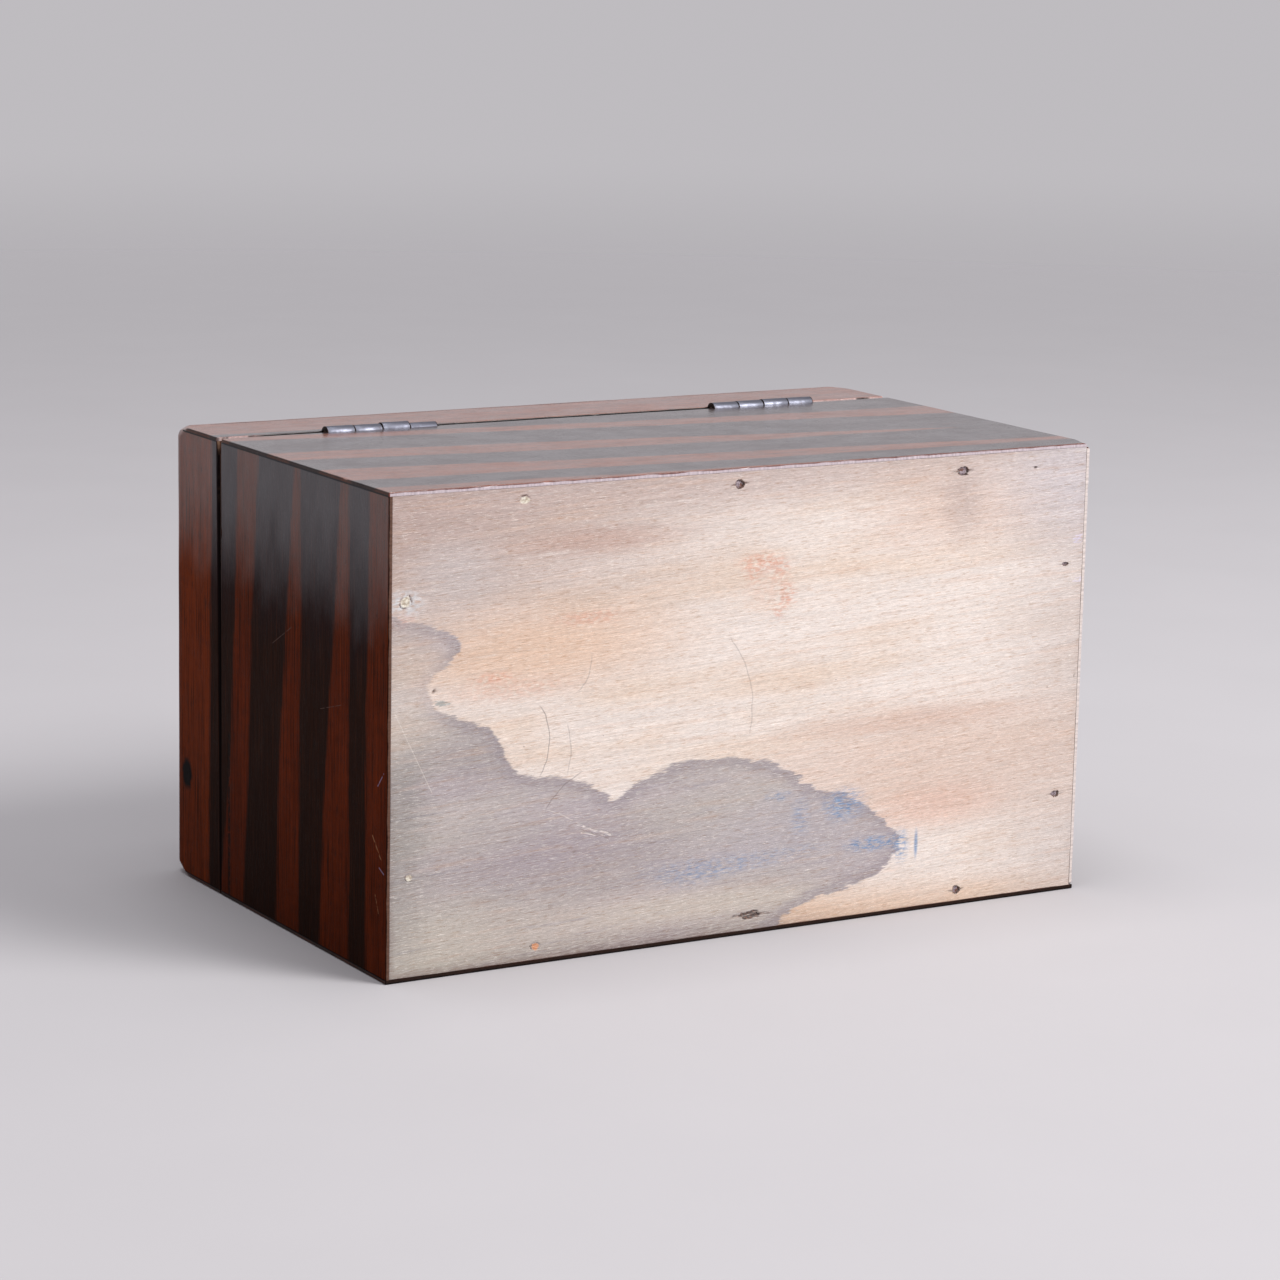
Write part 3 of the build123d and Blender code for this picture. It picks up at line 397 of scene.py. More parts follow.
def bare_board():
    """The underside board: bare pale softwood with a grey water stain, colour traces and nail marks."""
    g = Graph("bare_stained_board")
    # u runs from the right end, v from the back, as one looks at the underside
    u = g.math("SUBTRACT", HALF_W, g.x)
    v = g.math("SUBTRACT", HALF_D, g.y)
    slant = math.radians(3.2)
    along = g.math("SUBTRACT", g.math("MULTIPLY", u, math.cos(slant)), g.math("MULTIPLY", v, math.sin(slant)))
    across = g.math("ADD", g.math("MULTIPLY", u, math.sin(slant)), g.math("MULTIPLY", v, math.cos(slant)))
    gain = 0.80
    broad = g.noise(along, across, 60.0, 13.0, 2.0, 3.0)
    streaks = g.noise(along, across, 30.0, 1.7, 4.0, 9.0, 0.65)
    fibre = g.noise(along, across, 6.0, 0.36, 4.0, 15.0, 0.75)
    weave = g.noise(along, across, 1.5, 0.26, 3.0, 18.0, 0.7)
    lines = g.noise(along, across, 42.0, 0.85, 3.0, 12.0, 0.6)
    colour = g.mix(g.smooth(broad, 0.42, 0.72), seen(244, 232, 224, gain), seen(238, 217, 200, gain))
    # tone falls off towards the back right corner and the edges; towards the back right corner this is partly the
    # board's own colour and partly painted shade
    corner = g.math("SQRT", g.math("ADD", g.math("POWER", g.math("MULTIPLY", u, 0.5), 2), g.math("POWER", v, 2)))
    corner = g.math("ADD", corner, g.math("MULTIPLY", g.math("SUBTRACT", streaks, 0.5), 26.0))
    colour = g.mix(g.smooth(corner, 66.0, 2.0, 0.0, 0.95), colour, seen(186, 162, 154, gain))
    far_edge = g.math("ADD", u, g.math("MULTIPLY", g.math("SUBTRACT", broad, 0.5), 30.0))
    colour = g.mix(g.smooth(far_edge, 158.0, 205.0, 0.0, 0.7), colour, seen(212, 200, 196, gain))
    for centre, radii, tint, share in (
        ((152.0, 78.0), (44.0, 13.0), (226, 198, 182), 0.70),
        ((186.0, 86.0), (30.0, 10.0), (222, 200, 188), 0.55),
        ((150.0, 67.0), (32.0, 2.6), (214, 178, 160), 0.45),
        ((155.0, 90.0), (18.0, 5.0), (232, 188, 168), 0.5),
        ((122.0, 118.0), (56.0, 8.0), (226, 186, 152), 0.7),
        ((40.0, 40.0), (34.0, 9.0), (236, 200, 172), 0.75),
        ((160.0, 14.0), (24.0, 9.0), (222, 190, 172), 0.55),
        ((161.0, 12.0), (5.0, 9.0), (176, 160, 158), 0.4),
        ((56.0, 15.0), (20.0, 3.0), (196, 160, 146), 0.6),
        ((95.0, 1.0), (110.0, 8.0), (200, 180, 174), 0.75),
        ((202.0, 8.0), (26.0, 16.0), (210, 202, 206), 0.8),
    ):
        spot = g.spot(g.math("ADD", u, g.math("MULTIPLY", g.math("SUBTRACT", streaks, 0.5), 22.0)), v, centre, radii, 0.75)
        colour = g.mix(g.math("MULTIPLY", spot, share), colour, seen(*tint, gain))
    grey_patch = g.math("MULTIPLY", g.spot(u, v, (17.0, 20.0), (11.0, 7.0), 0.8), 0.6)
    colour = g.mix(grey_patch, colour, seen(206, 197, 196, gain))
    colour = g.mix(g.smooth(streaks, 0.50, 0.74, 0.0, 0.30), colour, seen(220, 178, 150, gain))
    colour = g.mix(g.smooth(streaks, 0.42, 0.30, 0.0, 0.30), colour, seen(250, 242, 236, gain))
    # orange marks, drawn out and broken up along the grain
    jag = g.math("MULTIPLY", g.math("SUBTRACT", g.noise(along, across, 2.6, 0.6, 3.0, 22.0), 0.5), 8.0)
    ju = g.math("ADD", u, jag)
    broken = g.smooth(g.noise(along, across, 1.6, 0.9, 3.0, 24.0), 0.36, 0.60)
    for centre, radii, share in (
        ((101.5, 23.6), (5.2, 2.0), 0.62),
        ((99.5, 26.6), (2.0, 1.8), 0.50),
        ((107.0, 26.0), (2.0, 2.6), 0.50),
        ((104.0, 29.0), (6.0, 6.5), 0.18),
        ((109.2, 32.5), (1.7, 3.0), 0.72),
        ((107.2, 36.4), (1.3, 1.8), 0.60),
        ((54.0, 33.5), (8.0, 1.5), 0.48),
        ((28.0, 45.8), (5.0, 1.3), 0.55),
        ((33.0, 49.0), (14.0, 2.4), 0.28),
        ((3.0, 30.0), (3.5, 2.0), 0.55),
    ):
        spot = g.math("MULTIPLY", g.spot(ju, v, centre, radii, 0.7), broken)
        colour = g.mix(g.math("MULTIPLY", spot, 0.85 * share), colour, seen(224, 148, 116, gain))
    # the stain: a signed distance kept on the mesh, its edge drawn out along the fibres
    inside = g.attribute("stain")
    fringe = g.math("SUBTRACT", g.noise(along, across, 2.6, 0.32, 2.0, 27.0), 0.5)
    teeth = g.math("SUBTRACT", g.noise(along, across, 7.0, 2.2, 4.0, 29.0), 0.5)
    inside = g.math("ADD", inside, g.math("MULTIPLY", fringe, 2.2))
    inside = g.math("ADD", inside, g.math("MULTIPLY", teeth, g.smooth(u, 60.0, 120.0, 3.0, 5.0)))
    faded = g.math("MULTIPLY", g.spot(u, v, (-2.0, 46.0), (17.0, 16.0), 0.5), 0.6)
    stain = g.math("MULTIPLY", g.smooth(inside, -0.4, 0.4), g.math("SUBTRACT", 1.0, faded))
    rim = g.math("MULTIPLY", g.smooth(inside, -0.1, 0.5), g.smooth(inside, 4.5, 0.6))
    grey = g.mix(g.smooth(broad, 0.3, 0.7), seen(190, 179, 182, gain), seen(196, 187, 181, gain))
    for centre, radii, tint, share in (
        ((12.0, 113.0), (44.0, 15.0), (202, 194, 180), 0.75),
        ((70.0, 108.0), (46.0, 6.0), (206, 192, 186), 0.65),
        ((45.0, 93.0), (34.0, 9.0), (168, 156, 162), 0.65),
        ((112.0, 92.0), (26.0, 9.0), (186, 178, 186), 0.6),
        ((26.0, 64.0), (16.0, 8.0), (166, 156, 158), 0.6),
        ((1.5, 66.0), (8.0, 44.0), (158, 152, 148), 0.8),
        ((90.0, 108.0), (30.0, 3.0), (214, 204, 190), 0.5),
    ):
        spot = g.spot(g.math("ADD", u, g.math("MULTIPLY", g.math("SUBTRACT", streaks, 0.5), 24.0)), v, centre, radii, 0.75)
        grey = g.mix(g.math("MULTIPLY", spot, share), grey, seen(*tint, gain))
    grey = g.mix(g.smooth(streaks, 0.52, 0.72, 0.0, 0.5), grey, seen(192, 166, 150, gain))
    grey = g.mix(g.smooth(streaks, 0.44, 0.32, 0.0, 0.35), grey, seen(160, 154, 164, gain))
    grey = g.mix(g.math("MULTIPLY", rim, 0.62), grey, seen(160, 150, 156, gain))
    colour = g.mix(stain, colour, grey)
    # blue traces
    dabs = g.smooth(g.noise(along, across, 2.4, 0.55, 4.0, 36.0, 0.7), 0.40, 0.66)
    for centre, radii, share in (
        ((128.0, 87.0), (5.4, 3.8), 0.95),
        ((115.0, 89.0), (2.6, 4.6), 0.45),
        ((108.5, 82.8), (3.4, 1.2), 0.60),
        ((137.0, 98.0), (7.5, 1.8), 0.98),
        ((145.6, 99.5), (2.2, 3.8), 0.98),
        ((150.2, 99.5), (0.5, 3.2), 0.75),
        ((92.0, 98.5), (20.0, 2.4), 0.50),
        ((84.0, 101.0), (9.0, 2.2), 0.32),
        ((116.0, 97.0), (7.0, 1.2), 0.25),
    ):
        spot = g.math("MULTIPLY", g.spot(u, v, centre, radii, 0.6), dabs if radii[0] > 1 else 1.0)
        colour = g.mix(g.math("MULTIPLY", spot, share), colour, seen(104, 148, 196, gain))
    # grime along the edges
    to_ends = g.math("MINIMUM", u, g.math("SUBTRACT", 2 * HALF_W, u))
    to_sides = g.math("MINIMUM", v, g.math("SUBTRACT", 2 * HALF_D, v))
    wobble = g.math("MULTIPLY", g.noise(u, v, 5.0, 5.0, 3.0, 40.0), 3.0)
    edge = g.smooth(g.math("SUBTRACT", g.math("MINIMUM", to_ends, to_sides), wobble), 1.6, -0.4)
    edge_share = g.math("MULTIPLY_ADD", g.math("MULTIPLY", g.smooth(u, 130.0, 60.0), g.smooth(v, 60.0, 112.0)), 0.32, 0.08)
    colour = g.mix(g.math("MULTIPLY", edge, edge_share), colour, seen(128, 106, 100, gain))
    dirt = g.math("MULTIPLY", g.spot(u, v, (66.0, 117.5), (60.0, 5.0), 0.6), g.smooth(fibre, 0.38, 0.62))
    colour = g.mix(g.math("MULTIPLY", dirt, 0.7), colour, seen(112, 94, 94, gain))
    # hairs and scratches
    for centre, radius, low_v, high_v, strength in (
        ((28.0, 62.5), 16.2, 54.0, 70.5, 0.55),
        ((70.0, 60.5), 31.0, 42.0, 66.0, 0.30),
        ((46.0, 44.0), 9.4, 43.0, 51.0, 0.30),
        ((24.0, 66.0), 26.0, 59.0, 71.0, 0.30),
        ((62.0, 92.0), 24.0, 71.0, 79.0, 0.45),
    ):
        direction = -1.0 if centre[1] > 90 else 1.0
        du = g.math("SUBTRACT", u, centre[0])
        dv = g.math("SUBTRACT", v, centre[1])
        away = g.math("SQRT", g.math("ADD", g.math("POWER", du, 2), g.math("POWER", dv, 2)))
        away = g.math("ADD", away, g.math("MULTIPLY", g.noise(u, v, 6.0, 6.0, 2.0, 42.0), 1.6))
        arc = g.band(away, radius, 0.04, 0.20)
        arc = g.math("MULTIPLY", arc, g.band(v, (low_v + high_v) / 2, (high_v - low_v) / 2 - 1.0, 2.0))
        arc = g.math("MULTIPLY", arc, g.smooth(g.math("MULTIPLY", du, direction), -1.0, 1.0))
        colour = g.mix(g.math("MULTIPLY", arc, strength), colour, seen(112, 98, 98, gain))
    wander = g.math("MULTIPLY", g.math("SUBTRACT", g.noise(u, v, 3.0, 3.0, 2.0, 43.0), 0.5), 1.0)
    wv = g.math("ADD", v, wander)
    scratch = g.line(u, wv, (51.5, 83.8), (60.5, 87.2), 0.16, 0.22)
    scratch = g.math("MAXIMUM", scratch, g.line(u, wv, (52.5, 86.0), (59.0, 87.4), 0.05, 0.2))
    faint = g.line(u, v, (2.0, 52.0), (12.0, 72.0), 0.02, 0.16)
    faint = g.math("MAXIMUM", faint, g.line(u, wv, (43.5, 79.5), (50.0, 82.4), 0.03, 0.18))
    under = g.line(u, wv, (52.5, 85.2), (60.0, 88.2), 0.12, 0.2)
    colour = g.mix(g.math("MULTIPLY", under, 0.32), colour, seen(130, 106, 100, gain))
    colour = g.mix(g.math("MULTIPLY", g.math("MULTIPLY", scratch, broken), 0.75), colour, seen(244, 234, 228, gain))
    colour = g.mix(g.math("MULTIPLY", faint, 0.45), colour, seen(238, 230, 222, gain))
    # specks and pits
    specks = g.smooth(g.noise(u, v, 0.9, 0.7, 2.0, 44.0), 0.70, 0.76)
    near = g.smooth(g.noise(u, v, 26.0, 26.0, 1.0, 47.0), 0.40, 0.58)
    colour = g.mix(g.math("MULTIPLY", g.math("MULTIPLY", specks, near), 0.55), colour, seen(132, 110, 104, gain))
    for centre, radii, tint in (
        ((197.2, 24.6), (0.9, 1.1), (226, 218, 240)),
        ((198.2, 35.2), (0.8, 0.8), (230, 222, 236)),
        ((14.2, 50.8), (1.6, 0.7), (160, 166, 164)),
    ):
        colour = g.mix(g.math("MULTIPLY", g.spot(ju, v, centre, radii, 0.35), 0.8), colour, seen(*tint, gain))
    # fillers, and rust and grime round the nail heads
    filler = g.attribute("filler")
    orange = g.spot(u, v, (40.3, 112.8), (4.0, 4.0))
    paste = g.mix(g.smooth(g.solid_noise(0.6, 3.0), 0.35, 0.6), seen(196, 180, 160, gain), seen(240, 233, 216, gain))
    paste = g.mix(orange, paste, seen(226, 158, 116, gain))
    halo = g.spot(u, v, (4.6, 26.4), (4.4, 3.2), 0.6)
    colour = g.mix(g.math("MULTIPLY", halo, g.math("MULTIPLY", broken, 0.85)), colour, seen(222, 223, 226, gain))
    colour = g.mix(filler, colour, paste)
    near_nail = g.attribute("nail")
    rust = g.mix(g.smooth(g.solid_noise(0.45, 3.0, 6.0), 0.42, 0.66), seen(44, 30, 32, gain), seen(134, 92, 74, gain))
    colour = g.mix(g.math("MULTIPLY", g.smooth(near_nail, 0.08, 0.8), 0.9), colour, rust)
    # fibres with painted white glints along them, and open pores
    glint = g.smooth(g.noise(along, across, 2.4, 0.26, 3.0, 51.0, 0.75), 0.52, 0.70)
    colour = g.mix(g.math("MULTIPLY", glint, 0.38), colour, seen(253, 246, 238, 0.95))
    pore = g.smooth(g.noise(along, across, 3.6, 0.32, 3.0, 57.0, 0.75), 0.53, 0.66)
    colour = g.vector("MULTIPLY", colour, g.mix(pore, (1.0, 1.0, 1.0, 1.0), (0.80, 0.70, 0.62, 1.0)))
    colour = g.dim(colour, g.smooth(fibre, 0.22, 0.78, 0.86, 1.13))
    colour = g.dim(colour, g.smooth(weave, 0.25, 0.75, 0.88, 1.12))
    colour = g.dim(colour, g.smooth(lines, 0.3, 0.7, 0.95, 1.06))
    height = g.math("ADD", g.math("MULTIPLY", fibre, 0.7), g.math("MULTIPLY", glint, 0.5))
    height = g.math("ADD", height, g.math("MULTIPLY", weave, 0.4))
    height = g.math("SUBTRACT", height, g.math("MULTIPLY", scratch, 1.0))
    g.set(
        Base_Color=colour,
        Roughness=g.smooth(glint, 0.0, 1.0, 0.62, 0.40),
        Specular_IOR_Level=0.42,
        Normal=g.bump(height, 0.12, 0.6),
    )
    return g.material


def plain_wood(name, run, light, dark, seed, rough=0.5, stained_above=None, coat=0.0):
    """Simple grained wood; above a height it can be stained like the rim of the box."""
    g = Graph(name)
    along, across, depth = {"x": (g.x, g.y, g.z), "y": (g.y, g.x, g.z), "z": (g.z, g.x, g.y)}[run]
    across = g.math("ADD", across, g.math("MULTIPLY", depth, 0.37))
    bend = g.math("MULTIPLY", g.math("SUBTRACT", g.noise(along, across, 80.0, 22.0, 1.0, seed), 0.5), 8.0)
    rings = g.noise(along, g.math("ADD", across, bend), 120.0, 2.4, 3.0, seed + 3.0)
    fibre = g.noise(along, across, 9.0, 0.4, 4.0, seed + 6.0, 0.7)
    colour = g.mix(g.smooth(rings, 0.35, 0.68), light, dark)
    colour = g.dim(colour, g.smooth(fibre, 0.2, 0.8, 0.82, 1.14))
    pore = g.smooth(g.noise(along, across, 3.0, 0.16, 1.0, seed + 9.0), 0.62, 0.76)
    colour = g.mix(g.math("MULTIPLY", pore, 0.4), colour, tuple(0.35 * c for c in dark[:3]) + (1.0,))
    if stained_above is not None:
        level, stain = stained_above
        edge = g.math("ADD", g.z, g.math("MULTIPLY", g.solid_noise(3.0), 0.8))
        shade = g.dim(stain, g.smooth(fibre, 0.2, 0.8, 0.75, 1.2))
        colour = g.mix(g.smooth(edge, level, level + 0.5), colour, shade)
    g.set(
        Base_Color=colour,
        Roughness=g.smooth(g.solid_noise(6.0), 0.3, 0.7, rough - 0.07, rough + 0.08),
        Coat_Weight=coat,
        Coat_Roughness=0.2,
        Normal=g.bump(g.math("SUBTRACT", fibre, pore), 0.05, 0.4),
    )
    return g.material


def metal(name, light, dark, rough, scratch_axis="x", tarnish=0.4, spots=0.0, joints=()):
    """Worn metal with tarnish in patches, fine rubbing marks, and dirt at joints across x."""
    g = Graph(name)
    along, across = (g.x, g.y) if scratch_axis == "x" else (g.y, g.x)
    across = g.math("ADD", across, g.z)
    patches = g.smooth(g.solid_noise(2.4, 4.0, 3.0), 0.38, 0.66)
    rub = g.noise(along, across, 3.5, 0.09, 3.0, 5.0)
    colour = g.mix(g.math("MULTIPLY", patches, tarnish), light, dark)
    colour = g.dim(colour, g.smooth(rub, 0.25, 0.75, 0.88, 1.08))
    metallic = 1.0
    for joint in joints:
        colour = g.mix(g.band(g.x, joint, 0.16, 0.10), colour, (0.022, 0.014, 0.012, 1.0))
    if spots:
        rust = g.math("MULTIPLY", g.smooth(g.solid_noise(0.9, 3.0, 8.0), 0.58, 0.70), spots)
        colour = g.mix(rust, colour, (0.07, 0.028, 0.014, 1.0))
        metallic = g.math("SUBTRACT", 1.0, rust)
    g.set(
        Base_Color=colour,
        Metallic=metallic,
        Roughness=g.math("ADD", g.smooth(patches, 0.0, 1.0, rough, rough + 0.16), g.math("MULTIPLY", rub, 0.06)),
        Normal=g.bump(rub, 0.015, 0.35),
    )
    return g.material


def nail_iron():
    g = Graph("punched_nail_iron")
    grain = g.solid_noise(0.5, 4.0)
    colour = g.mix(g.smooth(grain, 0.35, 0.65), seen(122, 106, 112), seen(176, 162, 168))
    colour = g.mix(g.smooth(g.solid_noise(1.1, 3.0, 4.0), 0.5, 0.66), colour, seen(112, 74, 58))
    g.set(Base_Color=colour, Metallic=0.3, Roughness=0.5, Normal=g.bump(grain, 0.12, 0.8))
    return g.material


def foil_metal():
    g = Graph("tea_chest_foil")
    voronoi = g.tree.nodes.new("ShaderNodeTexVoronoi")
    warp = g.vector("SCALE", g.join(g.solid_noise(7.0), g.solid_noise(7.0, 2.0, 5.0), g.solid_noise(7.0, 2.0, 9.0)), scale=5.0)
    g.put(voronoi.inputs["Vector"], g.vector("ADD", g.vector("SCALE", g.position, scale=1.0), warp))
    voronoi.inputs["Scale"].default_value = 0.16
    crease = voronoi.outputs["Distance"]
    cloud = g.smooth(g.solid_noise(11.0, 4.0, 2.0), 0.35, 0.65)
    colour = g.mix(cloud, (0.40, 0.40, 0.385, 1.0), (0.26, 0.25, 0.235, 1.0))
    g.set(Base_Color=colour, Metallic=0.9, Roughness=g.smooth(cloud, 0.0, 1.0, 0.34, 0.5), Normal=g.bump(crease, 0.7, 0.6))
    return g.material


def velvet():
    g = Graph("faded_velvet")
    pile = g.solid_noise(0.35, 3.0)
    worn = g.smooth(g.solid_noise(22.0, 3.0, 6.0), 0.35, 0.7)
    colour = g.mix(worn, (0.100, 0.015, 0.023, 1.0), (0.128, 0.025, 0.031, 1.0))
    colour = g.dim(colour, g.smooth(pile, 0.2, 0.8, 0.7, 1.25))
    g.set(
        Base_Color=colour, Roughness=0.9, Sheen_Weight=0.8, Sheen_Roughness=0.35,
        Sheen_Tint=(0.55, 0.25, 0.27, 1.0), Specular_IOR_Level=0.2, Normal=g.bump(pile, 0.25, 0.7),
    )  # fmt: skip
    return g.material


# ---- Mesh helpers -------------------------------------------------------------------

# Wear on outer edges: at the upright corners, and round each sheet
ARRIS = 0.34
SOFT = 0.22


def waves(a, b, size, seed, count=7):
    """A smooth random surface from -1 to 1 with features of about size millimetres."""
    draw = np.random.default_rng(seed)
    total = np.zeros(np.broadcast(a, b).shape)
    for _ in range(count):
        angle = draw.uniform(0, 2 * np.pi)
        length = size * draw.uniform(0.6, 1.7)
        phase = draw.uniform(0, 2 * np.pi)
        total = total + np.sin((a * math.cos(angle) + b * math.sin(angle)) * 2 * np.pi / length + phase)
    return total / count * 1.6


EDGE_STEPS = [0.0, 0.06, 0.13, 0.22, 0.33, 0.48, 0.70, 1.0, 1.5, 2.2, 3.2]


def graded(low, high, step, extra=()):
    """Grid lines from low to high, close together at both ends and at the extra places."""
    lines = [low + d for d in EDGE_STEPS] + [high - d for d in EDGE_STEPS]
    first, last = low + EDGE_STEPS[-1], high - EDGE_STEPS[-1]
    lines += list(np.linspace(first, last, max(2, int((last - first) / step) + 1)))
    lines += list(extra)
    lines = sorted(lines)
    kept = [lines[0]]
    for value in lines[1:]:
        if value - kept[-1] > 0.02:
            kept.append(value)
    kept[-1] = high
    return np.array(kept)


def new_object(name, vertices, faces, smooth, material, body, replaced=(), attributes=None):
    """A piece of the object from vertices in millimetres."""
    mesh = bpy.data.meshes.new(name)
    mesh.from_pydata((np.asarray(vertices) * MM).tolist(), [], faces)
    mesh.polygons.foreach_set("use_smooth", [True] * len(faces))
    for key, values in (attributes or {}).items():
        layer = mesh.attributes.new(key, "FLOAT", "POINT")
        layer.data.foreach_set("value", np.asarray(values, np.float32))
    mesh.validate()
    mesh.update()
    mesh.set_sharp_from_angle(angle=math.radians(48))
    mesh.materials.append(material)
    piece = bpy.data.objects.new(name, mesh)
    bpy.context.scene.collection.objects.link(piece)
    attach(piece, body)
    if replaced:
        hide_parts(*replaced)
    return piece


def closed_sheet(outer, inner_offset):
    """Vertices, faces and smooth flags of a closed sheet: a grid of outer points and a plain inner face.

    The faces look outwards when rows x columns x outwards is a right-handed set.

    outer is rows x columns x 3. inner_offset takes the boundary points to the inner side.
    """
    rows, columns = outer.shape[:2]
    vertices = outer.reshape(-1, 3)
    index = np.arange(rows * columns).reshape(rows, columns)
    a, b = index[:-1, :-1].ravel(), index[:-1, 1:].ravel()
    c, d = index[1:, 1:].ravel(), index[1:, :-1].ravel()
    faces = np.stack([a, d, c, b], 1).tolist()
    ring = list(index[0, :]) + list(index[1:, -1]) + list(index[-1, -2::-1]) + list(index[-2:0:-1, 0])
    inner = inner_offset(vertices[ring])
    start = len(vertices)
    count = len(ring)
    vertices = np.concatenate([vertices, inner])
    smooth = [True] * len(faces)
    for k in range(count):
        n = (k + 1) % count
        faces.append([int(ring[k]), int(ring[n]), start + n, start + k])
        smooth.append(False)
    faces.append([start + k for k in range(count)])
    smooth.append(False)
    return vertices, faces, smooth


def rounded(distance, radius):
    """Depth of an edge rounding at a distance from the edge."""
    inside = np.clip(radius - distance, 0, None)
    return radius - np.sqrt(np.clip(radius**2 - inside**2, 0, None))


def smoothstep(t):
    t = np.clip(t, 0, 1)
    return t * t * (3 - 2 * t)


def sanded(points, margin=0.0):
    """Draws points in to the rounded upright corners: wide at the lid's top and at the left feet."""
    x, y, z = points[..., 0], points[..., 1], points[..., 2]
    radius = ARRIS + 7.0 * smoothstep((z - 110.5) / 13.0)
    radius = np.maximum(radius, ARRIS + np.where(x < 0, 2.3, 0.0) * smoothstep((7.0 - z) / 7.0)) + margin
    a = radius - (HALF_W - np.abs(x))
    b = radius - (HALF_D - np.abs(y))
    away = np.hypot(a, b)
    outside = (a > 0) & (b > 0) & (away > radius)
    pull = np.where(outside, radius / np.maximum(away, 1e-9), 1.0)
    sanded_points = points.copy()
    sanded_points[..., 0] = np.where(outside, np.sign(x) * (HALF_W - radius + a * pull), x)
    sanded_points[..., 1] = np.where(outside, np.sign(y) * (HALF_D - radius + b * pull), y)
    return sanded_points


AXES = {
    "+x": ((0, 1, 0), (0, 0, 1), (1, 0, 0)),
    "-x": ((0, 1, 0), (0, 0, 1), (-1, 0, 0)),
    "+y": ((1, 0, 0), (0, 0, 1), (0, 1, 0)),
    "-y": ((1, 0, 0), (0, 0, 1), (0, -1, 0)),
    "+z": ((1, 0, 0), (0, 1, 0), (0, 0, 1)),
    "-z": ((1, 0, 0), (0, 1, 0), (0, 0, -1)),
}


def sheet(name, node, face, edges, material, body, low=None, high=None, corners=(), extra=(), seed=1, step=1.6):
    """A veneer sheet: worn, slightly wavy, rounded by edges = (u low, u high, v low, v high) radii."""
    lowest, highest = box_mm(node)
    u_axis, v_axis, out = (np.array(axis, float) for axis in AXES[face])
    u0, u1 = lowest @ u_axis, highest @ u_axis
    v0, v1 = lowest @ v_axis, highest @ v_axis
    front = max(lowest @ out, highest @ out)
    thickness = abs((highest - lowest) @ out)
    us = graded(u0, u1, step, extra)
    ts = (graded(v0, v1, step) - v0) / (v1 - v0)
    bottom = low(us) if low else np.full_like(us, v0)
    top = high(us) if high else np.full_like(us, v1)
    u = np.repeat(us[:, None], len(ts), 1)
    v = bottom[:, None] + ts[None, :] * (top - bottom)[:, None]
    for corner_u, corner_v, radius in corners:
        centre_u = corner_u - math.copysign(radius, corner_u - (u0 + u1) / 2)
        centre_v = corner_v - math.copysign(radius, corner_v - (v0 + v1) / 2)
        du, dv = u - centre_u, v - centre_v
        outside = (du * (corner_u - centre_u) > 0) & (dv * (corner_v - centre_v) > 0)
        away = np.hypot(du, dv)
        pull = np.where(outside & (away > radius), radius / np.maximum(away, 1e-6), 1.0)
        u, v = centre_u + du * pull, centre_v + dv * pull
    gaps = (u - u0, u1 - u, v - bottom[:, None], top[:, None] - v)
    depth = 0.018 * (1 + waves(u, v, 34.0, seed)) + 0.006 * (1 + waves(u, v, 9.0, seed + 1))
    for number, (gap, radius) in enumerate(zip(gaps, edges)):
        if radius:
            run = v if number < 2 else u
            wear = radius * (1 + 0.35 * waves(run, run * 0, 17.0, seed + 3 + number))
            nick = np.clip(waves(run, run * 0.3, 4.1, seed + 9 + number) - 0.86, 0, None) * 1.6
            depth = depth + rounded(np.clip(gap, 0, None), np.clip(wear + nick, 0.08, 0.8 * thickness))
    depth = np.clip(depth, 0, 0.85 * thickness)
    points = u[..., None] * u_axis + v[..., None] * v_axis + (front - depth)[..., None] * out
    points = sanded(points)

    def to_inner(ring):
        flat = ring - np.outer(ring @ out, out)
        return sanded(flat + (front - thickness) * out, 0.25)

    vertices, faces, smooth = closed_sheet(points, to_inner)
    if np.cross(u_axis, v_axis) @ out < 0:
        faces = [f[::-1] for f in faces]
    return new_object(name, vertices, faces, smooth, material, body, (node,))


# ---- Striped sheets -----------------------------------------------------------------

BARREL_REACH = 2.1
notch_half = math.sqrt(BARREL_REACH**2 - (HALF_D - HINGE_Y) ** 2)
hinge_spans = []
for side in ("right", "left"):
    pin_low, pin_high = box_mm(side + "_hinge_pin")
    hinge_spans.append((pin_low[0] - 0.25, pin_high[0] + 0.25))
notch_lines = [x + d for span in hinge_spans for x in span for d in (-0.3, -0.02, 0.02, 0.3)]


def in_hinge(x):
    inside = np.zeros_like(x, bool)
    for start, end in hinge_spans:
        inside |= (x > start) & (x < end)
    return inside


def lid_rim(y):
    """Height of the lid's rim, which rises from front to back."""
    share = (np.asarray(y) + HALF_D) / (2 * HALF_D)
    return LID_FRONT_RIM + (LID_BACK_RIM - LID_FRONT_RIM) * share


